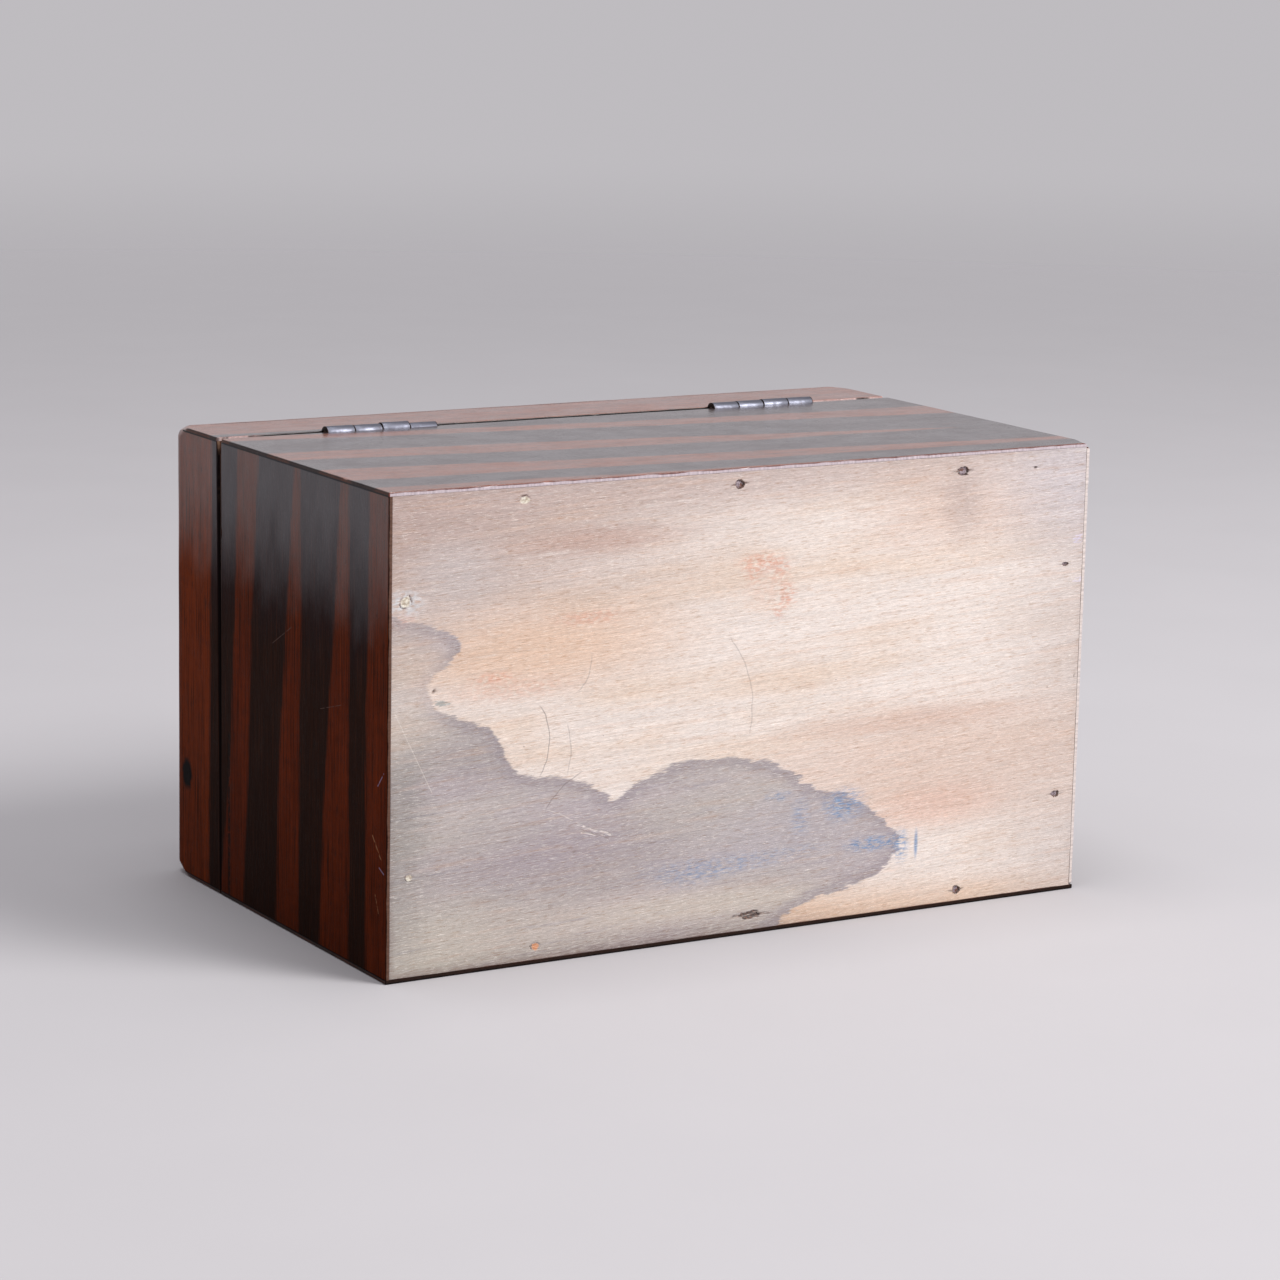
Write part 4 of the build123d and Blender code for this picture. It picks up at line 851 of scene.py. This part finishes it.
KNOT = (-31.2, 112.4, 3.8, 2.9)
CRACK = [((50.0, 108.6), (28.0, 106.4), 0.06, DARK_LINE)]
PINK_ENDS = ((-72.0, -76.0), (86.0, 93.0))
back_wood = striped_wood("striped_veneer_back", "x", BACK_STRIPES, 1.0, raw_and_shadow_edge=RED_AND_LILAC, light_and_shade_tints=BACK_LIGHT_TINTS)
front_wood = striped_wood("striped_veneer_front", "x", FRONT_STRIPES, 31.0, raw_and_shadow_edge=CONTACT_SHADOW_EDGE, polish="half")
right_wood = striped_wood(
    "striped_veneer_right", "y", RIGHT_STRIPES, 61.0, marks=END_MARKS, raw_and_shadow_edge=DARK_AND_DIRTY, polish="rubbed",
    light_and_shade_tints=END_SHADE_TINTS,
)
left_wood = striped_wood("striped_veneer_left", "y", LEFT_STRIPES, 91.0, raw_and_shadow_edge=PALE_EDGE, polish="dull")
lid_back_wood = striped_wood(
    "striped_veneer_lid_back", "x", BACK_STRIPES, 1.0, raw_and_shadow_edge=PINK_AND_PALE, rim=PINK_ENDS, light_and_shade_tints=BACK_LIGHT_TINTS
)
lid_front_wood = striped_wood(
    "striped_veneer_lid_front", "x", FRONT_STRIPES, 31.0, raw_and_shadow_edge=DARK_AND_TAN, rim=PINK_ENDS, polish="half"
)
lid_right_wood = striped_wood(
    "striped_veneer_lid_right", "y", RIGHT_STRIPES, 61.0, knot=KNOT, marks=CRACK, raw_and_shadow_edge=DARK_AND_TAN,
    rim=((40.0, 57.0), (-59.0, -60.0)), polish="rubbed", light_and_shade_tints=LID_END_SHADE_TINTS,
)  # fmt: skip
lid_left_wood = striped_wood(
    "striped_veneer_lid_left", "y", LEFT_STRIPES, 91.0, raw_and_shadow_edge=DARK_AND_TAN, rim=((40.0, 57.0), (-50.0, -58.0)),
    polish="dull",
)  # fmt: skip
top_wood = striped_wood("striped_veneer_top", "x", TOP_STRIPES, 121.0, polish="half")

W, D, V = HALF_W, HALF_D, VENEER
sheet(
    "back_veneer_worn", "back_veneer", "+y", (ARRIS, ARRIS, SOFT, SOFT), back_wood, "body",
    high=lambda x: np.where(in_hinge(x), HINGE_Z - notch_half, RIM_Z),
    corners=((-W, 0.0, 1.0), (W, RIM_Z, 0.7)), extra=notch_lines, seed=11,
)  # fmt: skip
sheet(
    "right_end_veneer_worn", "right_end_veneer", "+x", (0, 0, SOFT, SOFT), right_wood, "body", seed=21,
)  # fmt: skip
sheet(
    "left_end_veneer_worn", "left_end_veneer", "-x", (0, 0, SOFT, SOFT), left_wood, "body",
    corners=((D - V, 0.0, 0.8), (V - D, 0.0, 0.8)), seed=31,
)  # fmt: skip
sheet(
    "lid_back_veneer_worn", "lid_back_veneer", "+y", (ARRIS, ARRIS, SOFT, 0), lid_back_wood, "lid",
    low=lambda x: np.where(in_hinge(x), HINGE_Z + notch_half, LID_BACK_RIM), extra=notch_lines, seed=41,
)  # fmt: skip
sheet(
    "lid_right_veneer_worn", "lid_right_veneer", "+x", (0, 0, SOFT, 0), lid_right_wood, "lid",
    low=lid_rim, seed=51,
)  # fmt: skip
sheet(
    "lid_left_veneer_worn", "lid_left_veneer", "-x", (0, 0, SOFT, 0), lid_left_wood, "lid",
    low=lid_rim, seed=61,
)  # fmt: skip
sheet(
    "lid_front_veneer_worn", "lid_front_veneer", "-y", (ARRIS, ARRIS, SOFT, 0), lid_front_wood, "lid",
    seed=71,
)  # fmt: skip
sheet("lid_top_veneer_worn", "lid_top_veneer", "+z", (0, 0, 0, 0), top_wood, "lid", seed=81)


# ---- Edging strips round the lid's top -----------------------------------------------

EDGING = LID_TOP - LEDGE_Z
EDGING_RADIUS = 5.8


def edging(name, node, face, half_run, reach, material, seed):
    """A mitred strip with a rounded outer top, following the box's side out to reach."""
    u_axis, _, out = (np.array(axis, float) for axis in AXES[face])
    turns = np.linspace(0, math.pi / 2, 19)
    profile = [(0.0, LEDGE_Z), (0.0, LEDGE_Z + 0.25)]
    for turn in turns:
        inset = EDGING_RADIUS * (1 - math.cos(turn))
        profile.append((inset, LID_TOP - EDGING_RADIUS * (1 - math.sin(turn))))
    profile += [(EDGING - 0.1, LID_TOP), (EDGING, LID_TOP - 0.05), (EDGING, LEDGE_Z)]
    near_ends = [side * (half_run - d) for side in (-1, 1) for d in np.arange(0.5, 9.0, 0.5)]
    shares = graded(-half_run, half_run, 2.0, near_ends) / half_run
    columns = len(shares) - 1
    vertices = []
    for share in shares:
        for inset, z in profile:
            run = share * (half_run - inset)
            shape = inset < EDGING - 0.2 and z > LEDGE_Z + 0.1
            wear = max(0.0, 0.05 * (1 + float(waves(np.array(run), np.array(z), 23.0, seed)))) if shape else 0.0
            lean = min(inset / EDGING_RADIUS, 1.0)
            vertices.append(
                run * u_axis + (reach - inset - wear * (1 - lean)) * out + np.array((0, 0, z - wear * lean))
            )
    count = len(profile)
    faces = []
    for i in range(columns):
        for j in range(count):
            n = (j + 1) % count
            faces.append([i * count + j, (i + 1) * count + j, (i + 1) * count + n, i * count + n])
    faces.append(list(range(count - 1, -1, -1))[::-1])
    faces.append([columns * count + j for j in range(count)][::-1])
    if np.cross(u_axis, (0, 0, 1)) @ out < 0:
        faces = [f[::-1] for f in faces]
    vertices = sanded(np.array(vertices))
    return new_object(name, vertices, faces, None, material, "lid", (node,))


edging("lid_back_edging_worn", "lid_back_edging", "+y", HALF_W, HALF_D, lid_back_wood, 101)
edging("lid_front_edging_worn", "lid_front_edging", "-y", HALF_W, HALF_D, lid_front_wood, 102)
edging("lid_right_edging_worn", "lid_right_edging", "+x", HALF_D, HALF_W, lid_right_wood, 103)
edging("lid_left_edging_worn", "lid_left_edging", "-x", HALF_D, HALF_W, lid_left_wood, 104)

# ---- Underside board ------------------------------------------------------------------

# The edge of the water stain, as distances from the right end and from the back
STAIN = [
    (-6, 31), (6, 31.5), (14, 33), (19.5, 37.5), (15, 42.5), (10.5, 46), (13, 52), (21, 55.5), (28, 58.5),
    (31.5, 65), (36, 70), (48, 72), (56, 75), (62, 79), (67, 75.5), (76, 72.5), (90, 71), (102, 73), (110, 76),
    (118, 81), (128, 84.5), (136, 89), (143, 95), (145, 99), (142, 104), (133, 107.5), (120, 110.5),
    (111, 113.5), (105, 119), (100, 126), (40, 127), (-6, 127), (-9, 80),
]  # fmt: skip

# Nails: (from the right end, from the back, kind, half length and half width of the mark)
NAILS = [
    (35.8, 4.2, "filled", 1.35, 1.0), (95.1, 4.1, "head", 1.25, 1.0), (160.9, 4.9, "head", 1.55, 1.0),
    (40.3, 112.8, "filled", 1.15, 0.95), (101.0, 112.3, "torn", 3.3, 1.15), (163.2, 113.1, "head", 1.1, 0.95),
    (4.6, 26.0, "filled", 1.4, 1.2), (6.2, 91.8, "filled", 0.9, 0.8), (193.6, 30.9, "slit", 1.0, 0.55),
    (193.2, 91.1, "slit", 1.25, 0.75),
]  # fmt: skip


def through(points, steps=6):
    """A closed smooth curve through the points."""
    points = np.array(points, float)
    curve = []
    for k in range(len(points)):
        p0, p1, p2, p3 = (points[(k + d) % len(points)] for d in (-1, 0, 1, 2))
        for t in np.arange(steps) / steps:
            curve.append(
                0.5 * (2 * p1 + (p2 - p0) * t + (2 * p0 - 5 * p1 + 4 * p2 - p3) * t**2
                       + (3 * p1 - p0 - 3 * p2 + p3) * t**3)
            )  # fmt: skip
    return np.array(curve)


def signed_distance(u, v, curve):
    """Distance to a closed curve, positive inside."""
    near = np.full(u.shape, 1e9)
    inside = np.zeros(u.shape, bool)
    for a, b in zip(curve, np.roll(curve, -1, 0)):
        run = b - a
        t = np.clip(((u - a[0]) * run[0] + (v - a[1]) * run[1]) / (run @ run), 0, 1)
        near = np.minimum(near, np.hypot(u - a[0] - t * run[0], v - a[1] - t * run[1]))
        if a[1] != b[1]:
            crosses = (v >= min(a[1], b[1])) & (v < max(a[1], b[1]))
            at = a[0] + (v - a[1]) / (b[1] - a[1]) * run[0]
            inside ^= crosses & (u < at)
    return np.where(inside, near, -near)


def underside():
    low, high = box_mm("bottom_board")
    x_lines = [x for nail in NAILS for x in HALF_W - nail[0] + np.arange(-3.0, 3.01, 0.22)]
    y_lines = [y for nail in NAILS for y in HALF_D - nail[1] + np.arange(-2.6, 2.61, 0.22)]
    xs = graded(low[0], high[0], 0.9, [x for x in x_lines if low[0] + 0.1 < x < high[0] - 0.1])
    ys = graded(low[1], high[1], 0.9, [y for y in y_lines if low[1] + 0.1 < y < high[1] - 0.1])
    x = np.repeat(xs[:, None], len(ys), 1)
    y = np.repeat(ys[None, :], len(xs), 0)
    u, v = HALF_W - x, HALF_D - y
    depth = 0.035 * (1 + waves(u * 0.35, v, 26.0, 201)) + 0.012 * (1 + waves(u * 0.12, v, 2.6, 202))
    nail_mark = np.zeros_like(x)
    filler = np.zeros_like(x)
    for number, (nail_u, nail_v, kind, long, wide) in enumerate(NAILS):
        du, dv = u - nail_u, v - nail_v
        ragged = 0.24 * waves(u * 0.5, v, 1.5, 210 + number) + 0.14 * waves(u, v, 0.6, 230 + number)
        away = np.hypot(du / long, dv / wide) + ragged
        hole = smoothstep((1.0 - away) / 0.22)
        # grain torn and blackened to both sides of the nail
        bent = dv - 0.25 * wide * waves(du, du * 0, 5.0, 240 + number)
        tail = np.exp(-((np.abs(du) / (2.3 * long)) ** 3) - (bent / (0.36 * wide)) ** 2) * (0.75 + ragged)
        if kind == "head":
            depth += 0.56 * hole
            nail_mark = np.maximum(nail_mark, smoothstep((1.28 - away) / 0.3))
            nail_mark = np.maximum(nail_mark, 0.9 * tail)
        elif kind == "torn":
            splinters = 0.5 + 0.5 * waves(u * 0.25, v, 0.9, 250)
            depth += 0.46 * hole * (0.2 + 0.8 * splinters) + 0.10 * tail
            nail_mark = np.maximum(nail_mark, hole * (0.45 + 0.55 * splinters))
            nail_mark = np.maximum(nail_mark, 0.8 * tail)
        elif kind == "slit":
            depth += 0.55 * hole
            nail_mark = np.maximum(nail_mark, smoothstep((1.15 - away) / 0.3))
            nail_mark = np.maximum(nail_mark, 0.7 * tail)
        else:
            rough = 0.6 * waves(u * 0.6, v, 0.9, 260 + number)
            moat = np.exp(-(((away - 1.12) / 0.16) ** 2)) * smoothstep(0.55 + 0.9 * waves(u, v, 2.3, 270 + number))
            depth += 0.10 * hole * (1 + rough) + 0.20 * moat
            filler = np.maximum(filler, hole)
            nail_mark = np.maximum(nail_mark, 0.7 * moat)
    for hole_u, hole_v, radius, deep in ((12.4, 48.0, 0.4, 0.6), (198.0, 60.0, 0.3, 0.4), (183.0, 5.4, 0.3, 0.3)):
        pit = smoothstep((radius + 0.15 - np.hypot(u - hole_u, v - hole_v)) / 0.25)
        depth += deep * pit
        nail_mark = np.maximum(nail_mark, pit)
    # dents and a long scratch
    for _ in range(26):
        at_u, at_v = rng.uniform(4, 195), rng.uniform(4, 112)
        long, wide = rng.uniform(0.8, 3.5), rng.uniform(0.3, 0.8)
        turn = rng.uniform(-0.6, 0.6)
        du, dv = u - at_u, v - at_v
        ru = du * math.cos(turn) + dv * math.sin(turn)
        rv = dv * math.cos(turn) - du * math.sin(turn)
        depth += rng.uniform(0.03, 0.10) * np.exp(-((ru / long) ** 2) - (rv / wide) ** 2)
    edge_gap = np.minimum(np.minimum(x - low[0], high[0] - x), np.minimum(y - low[1], high[1] - y))
    edge_run = np.where(np.minimum(x - low[0], high[0] - x) < np.minimum(y - low[1], high[1] - y), y, x)
    wear = np.where(x < low[0] + 4, 0.10, 0.20) * (1 + 0.5 * waves(edge_run, edge_run * 0, 21.0, 280))
    wear += 0.5 * np.clip(waves(edge_run, edge_run * 0, 5.0, 281) - 0.8, 0, None) * (x > low[0] + 4)
    depth += rounded(edge_gap, np.clip(wear, 0.1, 0.9))
    depth = np.clip(depth, 0, 3)
    points = sanded(np.stack([x, y, low[2] + depth], -1), 0.3)

    def to_inner(ring):
        flat = ring.copy()
        flat[:, 2] = high[2]
        return flat

    vertices, faces, smooth = closed_sheet(points, to_inner)
    faces = [f[::-1] for f in faces]
    flat_u, flat_v = HALF_W - vertices[:, 0], HALF_D - vertices[:, 1]
    extra = len(vertices) - nail_mark.size
    attributes = {
        "stain": signed_distance(flat_u, flat_v, through(STAIN)),
        "nail": np.append(nail_mark.ravel(), np.zeros(extra)),
        "filler": np.append(filler.ravel(), np.zeros(extra)),
    }
    return new_object(
        "bottom_board_worn", vertices, faces, None, bare_board(), "body", ("bottom_board",),
        attributes,
    )  # fmt: skip


underside()

# ---- Soft and thin linings --------------------------------------------------------------


def padded_lining():
    """The velvet panel under the lid's top: slightly crowned, its edge rolled over and puckered."""
    low, high = box_mm("lid_lining")
    xs, ys = graded(low[0], high[0], 1.6), graded(low[1], high[1], 1.6)
    x = np.repeat(xs[:, None], len(ys), 1)
    y = np.repeat(ys[None, :], len(xs), 0)
    gap_x = np.minimum(x - low[0], high[0] - x)
    gap_y = np.minimum(y - low[1], high[1] - y)
    roll = 3.2
    share = np.clip(1 - np.hypot(np.clip(roll - gap_x, 0, None), np.clip(roll - gap_y, 0, None)) / roll, 0, 1)
    depth = 1.05 * (1 - np.sqrt(1 - (1 - share) ** 2))
    gap = np.minimum(gap_x, gap_y)
    run = np.where(gap_x < gap_y, y, x)
    pucker = waves(run, gap * 0.25, 6.5, 301) * np.exp(-gap / 6.0)
    depth += 0.07 * (1 + waves(x, y, 30.0, 302)) + 0.09 * (1 + pucker) + 0.02 * (1 + waves(x, y, 7.0, 303))
    points = np.stack([x, y, low[2] + np.clip(depth, 0, 1.4)], -1)

    def to_inner(ring):
        flat = ring.copy()
        flat[:, 2] = high[2]
        return flat

    vertices, faces, smooth = closed_sheet(points, to_inner)
    faces = [f[::-1] for f in faces]
    new_object("lid_lining_padded", vertices, faces, None, velvet(), "lid", ("lid_lining",))


def foil_tray(side, thickness=0.25, step=2.0):
    """A compartment's open tray of thin foil, its walls and floor crumpled inwards."""
    low, high = box_mm(side + "_foil")
    counts = [int((high[k] - low[k]) / step) for k in range(3)]
    lines = [np.linspace(low[k], high[k], counts[k] + 1) for k in range(3)]
    seed = 320 if side == "right" else 340
    index = {}
    points = []
    shifts = []

    def corner(i, j, k):
        """Number of a lattice point on the tray."""
        key = (i, j, k)
        if key not in index:
            x, y, z = (lines[axis][at] for axis, at in enumerate(key))
            inward = [(i == 0) * 1.0 - (i == counts[0]), (j == 0) * 1.0 - (j == counts[1]), (k == 0) * 1.0]
            index[key] = len(points)
            points.append((x, y, z))
            shifts.append(inward)
        return index[key]

    walls = []
    for axis, ends in ((0, (0, counts[0])), (1, (0, counts[1])), (2, (0,))):
        first, second = (other for other in range(3) if other != axis)
        for end in ends:
            for a in range(counts[first]):
                for b in range(counts[second]):
                    quad = []
                    for da, db in ((0, 0), (1, 0), (1, 1), (0, 1)):
                        key = [0, 0, 0]
                        key[axis], key[first], key[second] = end, a + da, b + db
                        quad.append(corner(*key))
                    flip = (end == 0) == (axis != 1)
                    walls.append(quad[::-1] if flip else quad)
    outer, inward = np.array(points), np.array(shifts)
    x, y, z = outer.T
    across = x * 1.0 + y * 1.0
    crease = 0.11 * np.abs(waves(across, z + 0.6 * y, 13.0, seed)) + 0.07 * np.abs(waves(across, z - x, 5.5, seed + 1))
    crease += 0.05 * (1 + waves(across, z, 34.0, seed + 2))
    on_edge = np.abs(inward).sum(1) > 1
    crease = np.where(on_edge, 0.0, np.clip(crease, 0, 0.4))
    outer = outer + inward * crease[:, None]
    inner = outer + inward * thickness
    count = len(outer)
    faces = [list(quad) for quad in walls]
    faces += [[count + v for v in quad[::-1]] for quad in walls]
    rim = [(i, 0) for i in range(counts[0])] + [(counts[0], j) for j in range(counts[1])]
    rim += [(i, counts[1]) for i in range(counts[0], 0, -1)] + [(0, j) for j in range(counts[1], 0, -1)]
    for here, after in zip(rim, rim[1:] + rim[:1]):
        a, b = index[(*here, counts[2])], index[(*after, counts[2])]
        faces.append([a, b, count + b, count + a])
    new_object(
        side + "_foil_crumpled", np.concatenate([outer, inner]), faces, None, foil, "body",
        (side + "_foil",),
    )  # fmt: skip


padded_lining()
foil = foil_metal()
foil_tray("right")
foil_tray("left")

# ---- Finishes of the other pieces -----------------------------------------------------

scene = bpy.context.scene


def bevel(node, width, segments=2, angle=35):
    """Softens the edges of a CAD piece without touching its mesh."""
    weld = nodes[node].modifiers.new("weld", "WELD")
    weld.merge_threshold = 0.004 * MM
    softened = nodes[node].modifiers.new("soft_edges", "BEVEL")
    softened.width = width * MM
    softened.segments = segments
    softened.limit_method = "ANGLE"
    softened.angle_limit = math.radians(angle)
    softened.harden_normals = False


def paint(material, *names, soft=0.0):
    for name in names:
        data = nodes[name].data
        data.materials.clear()
        data.materials.append(material)
        if soft:
            bevel(name, soft)


PINE_LIGHT, PINE_DARK = (0.46, 0.29, 0.15, 1.0), (0.33, 0.18, 0.085, 1.0)
RIM_STAIN = (0.030, 0.013, 0.008, 1.0)
pine_x = plain_wood("carcass_pine_long", "x", PINE_LIGHT, PINE_DARK, 140.0, stained_above=(82.6, RIM_STAIN))
pine_y = plain_wood("carcass_pine_end", "y", PINE_LIGHT, PINE_DARK, 150.0, stained_above=(82.6, RIM_STAIN))
lid_pine_x = plain_wood("lid_pine_long", "x", PINE_LIGHT, PINE_DARK, 160.0)
rail_x = plain_wood("lid_rail_stain_long", "x", (0.085, 0.032, 0.017, 1.0), (0.045, 0.018, 0.011, 1.0), 170.0, 0.42, coat=0.4)
rail_y = plain_wood("lid_rail_stain_end", "y", (0.085, 0.032, 0.017, 1.0), (0.045, 0.018, 0.011, 1.0), 180.0, 0.42, coat=0.4)
MAHOGANY_LIGHT, MAHOGANY_DARK = (0.215, 0.070, 0.030, 1.0), (0.125, 0.036, 0.016, 1.0)
mahogany_x = plain_wood("facing_mahogany_long", "x", MAHOGANY_LIGHT, MAHOGANY_DARK, 190.0, 0.36, coat=0.5)
mahogany_y = plain_wood("facing_mahogany_end", "y", MAHOGANY_LIGHT, MAHOGANY_DARK, 200.0, 0.36, coat=0.5)
cover_wood = plain_wood("inner_lid_polish", "x", (0.190, 0.058, 0.024, 1.0), (0.095, 0.027, 0.013, 1.0), 210.0, 0.30, coat=0.8)
ebony = plain_wood("turned_ebony", "z", (0.022, 0.017, 0.015, 1.0), (0.010, 0.008, 0.0075, 1.0), 220.0, 0.27, coat=0.7)

paint(front_wood, "front_veneer")
paint(pine_x, "front_board", "back_board", soft=0.25)
paint(pine_y, "right_end_board", "left_end_board", soft=0.25)
paint(lid_pine_x, "lid_top_board")
paint(rail_x, "lid_front_rail", "lid_back_rail", soft=0.25)
paint(rail_y, "lid_right_rail", "lid_left_rail", soft=0.25)
paint(mahogany_x, "front_facing", "back_facing", soft=0.4)
paint(mahogany_y, "right_facing", "left_facing", "divider", soft=0.4)
paint(cover_wood, "right_inner_lid", "left_inner_lid")
paint(ebony, "right_knob", "left_knob")
STEEL_LIGHT, STEEL_DARK = seen(118, 120, 132), seen(80, 78, 86)
joints = []
for side in ("right", "left"):
    pin_low, pin_high = box_mm(side + "_hinge_pin")
    joints += list(np.linspace(pin_low[0], pin_high[0], 5))
hinge_steel = metal("hinge_steel_worn", STEEL_LIGHT, STEEL_DARK, 0.37, "x", 0.35, 0.25, joints)


def worn_leaf(node, body, shifts):
    """A hinge leaf with softened edges, its knuckles pushed out of line by shifts from the right end."""
    mesh = nodes[node].data.copy()
    edit = bmesh.new()
    edit.from_mesh(mesh)
    bmesh.ops.remove_doubles(edit, verts=edit.verts, dist=0.002 * MM)
    low, high = box_mm(node)
    side = node.split("_")[0]
    pin_low, pin_high = box_mm(side + "_hinge_pin")
    pitch = (pin_high[0] - pin_low[0]) / len(shifts)
    for vertex in edit.verts:
        x, y, z = vertex.co / MM
        if math.hypot(y - HINGE_Y, z - HINGE_Z) < 2.05 and y > HINGE_Y - 1.7:
            index = min(int((pin_high[0] - x) / pitch), len(shifts) - 1)
            vertex.co.y += shifts[index][0] * MM
            vertex.co.z += shifts[index][1] * MM
    bmesh.ops.dissolve_limit(edit, angle_limit=math.radians(1.0), verts=edit.verts, edges=edit.edges)
    sharp = [e for e in edit.edges if len(e.link_faces) == 2 and e.calc_face_angle() > math.radians(40)]
    bmesh.ops.bevel(edit, geom=sharp, offset=0.13 * MM, segments=2, profile=0.5, affect="EDGES", clamp_overlap=True)
    edit.to_mesh(mesh)
    edit.free()
    mesh.polygons.foreach_set("use_smooth", [True] * len(mesh.polygons))
    mesh.set_sharp_from_angle(angle=math.radians(50))
    mesh.materials.clear()
    mesh.materials.append(hinge_steel)
    piece = bpy.data.objects.new(node + "_worn", mesh)
    scene.collection.objects.link(piece)
    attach(piece, body)
    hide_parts(node)
    return piece


RIGHT_SHIFTS = [(-0.12, 0.0), (-0.22, 0.05), (0.0, 0.12), (-0.5, -0.08)]
LEFT_SHIFTS = [(-0.15, 0.0), (-0.1, 0.04), (0.0, 0.0), (-0.05, 0.05)]
worn_leaf("right_hinge_body_leaf", "body", RIGHT_SHIFTS)
worn_leaf("right_hinge_lid_leaf", "lid", RIGHT_SHIFTS)
worn_leaf("left_hinge_body_leaf", "body", LEFT_SHIFTS)
worn_leaf("left_hinge_lid_leaf", "lid", LEFT_SHIFTS)
pin_steel = metal("hinge_pin_rusty", seen(110, 92, 84), seen(60, 42, 34), 0.5, "x", 0.8, 0.7)
screw_steel = metal("screw_steel_aged", seen(150, 148, 146), seen(84, 76, 70), 0.36, "x", 0.6, 0.4)
brass = metal("aged_brass", seen(196, 160, 92), seen(108, 78, 42), 0.28, "x", 0.6)
lock_steel = metal("lock_steel_rubbed", seen(160, 160, 164), seen(86, 82, 80), 0.32, "x", 0.5, 0.3)
paint(pin_steel, "right_hinge_pin", "left_hinge_pin")
paint(screw_steel, "hinge_body_screws", "hinge_lid_screws")
paint(nail_iron(), "bottom_nails")
paint(brass, "escutcheon", "lock_case", "lock_cap", "link_plate", "lock_screws", "link_plate_screws", soft=0.12)
paint(lock_steel, "lock_bolt", "lock_spring", "lock_key_pin")

# ---- Stage, light and camera ----------------------------------------------------------

# The caddy lies on its front, so the floor is upright in the box's own frame.
scene.view_settings.view_transform = "Standard"
FLOOR_Y = -HALF_D


def floor():
    """A pale floor that fades into the room. Light passes through it under the box, to reach its front."""
    g = Graph("pale_floor")
    soft_noise = g.solid_noise(60.0, 2.0)
    colour = g.mix(soft_noise, seen(180, 178, 181), seen(184, 182, 185))
    g.set(Base_Color=colour, Roughness=0.75, Specular_IOR_Level=0.2)
    rim = 0.4
    inside = g.math("SUBTRACT", HALF_W, g.math("ABSOLUTE", g.x))
    under = g.math("GREATER_THAN", inside, g.smooth(g.z, 110.5, 123.5, rim, rim + 7.0))
    covered = 0.0
    for low, high in ((rim, RIM_Z - rim), (LID_FRONT_RIM + rim, LID_TOP - rim)):
        span = g.math("MULTIPLY", g.math("GREATER_THAN", g.z, low), g.math("LESS_THAN", g.z, high))
        covered = g.math("ADD", covered, span)
    path = g.tree.nodes.new("ShaderNodeLightPath")
    passing = g.math("MULTIPLY", under, g.math("MULTIPLY", covered, g.math("SUBTRACT", 1.0, path.outputs["Is Camera Ray"])))
    geometry = g.tree.nodes.new("ShaderNodeNewGeometry")
    far_off = g.smooth(g.vector("LENGTH", g.position), 500.0, 2600.0)
    unseen = g.math("MAXIMUM", g.math("MAXIMUM", geometry.outputs["Backfacing"], far_off), passing)
    clear = g.tree.nodes.new("ShaderNodeBsdfTransparent")
    choose = g.tree.nodes.new("ShaderNodeMixShader")
    g.put(choose.inputs[0], unseen)
    g.put(choose.inputs[1], g.shader.outputs[0])
    g.put(choose.inputs[2], clear.outputs[0])
    g.put(g.output.inputs[0], choose.outputs[0])
    far = 4000.0
    vertices = [(x, FLOOR_Y - 0.02, z) for x, z in ((-far, -far), (-far, far), (far, far), (far, -far))]
    mesh = bpy.data.meshes.new("floor")
    mesh.from_pydata([[c * MM for c in v] for v in vertices], [], [[0, 1, 2, 3]])
    mesh.update()
    mesh.materials.append(g.material)
    piece = bpy.data.objects.new("floor", mesh)
    scene.collection.objects.link(piece)


floor()

world = bpy.data.worlds.new("pale_room")
world.use_nodes = True
world.node_tree.nodes["Background"].inputs[0].default_value = seen(205, 202, 206)
world.node_tree.nodes["Background"].inputs[1].default_value = 0.85
scene.world = world


def soft_light(name, place, power, size, colour=(1.0, 1.0, 1.0)):
    """A square soft light aimed at the middle of the box."""
    data = bpy.data.lights.new(name, "AREA")
    data.energy = power
    data.size = size
    data.color = colour
    lamp = bpy.data.objects.new(name, data)
    lamp.location = place
    aim = Vector((0.0, 0.0, 0.055)) - lamp.location
    lamp.rotation_euler = aim.to_track_quat("-Z", "Y").to_euler()
    scene.collection.objects.link(lamp)
    return lamp


soft_light("key", (-0.9, 1.3, -1.2), 40.0, 0.9, (1.0, 0.985, 0.97))
soft_light("overhead", (0.1, 1.6, 0.1), 10.0, 0.8)
soft_light("front_fill", (0.25, -1.4, 0.5), 20.0, 1.2)

camera_data = bpy.data.cameras.new("camera")
camera_data.sensor_width = 36.0
camera_data.lens = 111.15
camera_data.clip_start = 0.01
camera = bpy.data.objects.new("camera", camera_data)
right = Vector((-0.8605, 0.0197, -0.5090)).normalized()
up = Vector((-0.0824, 0.9807, 0.1772)).normalized()
back = right.cross(up).normalized()
up = back.cross(right)
camera.matrix_world = Matrix(
    [(*row, place) for row, place in zip(zip(right, up, back), (0.5080, 0.2024, -0.7972))] + [(0, 0, 0, 1)]
)
scene.collection.objects.link(camera)
scene.camera = camera
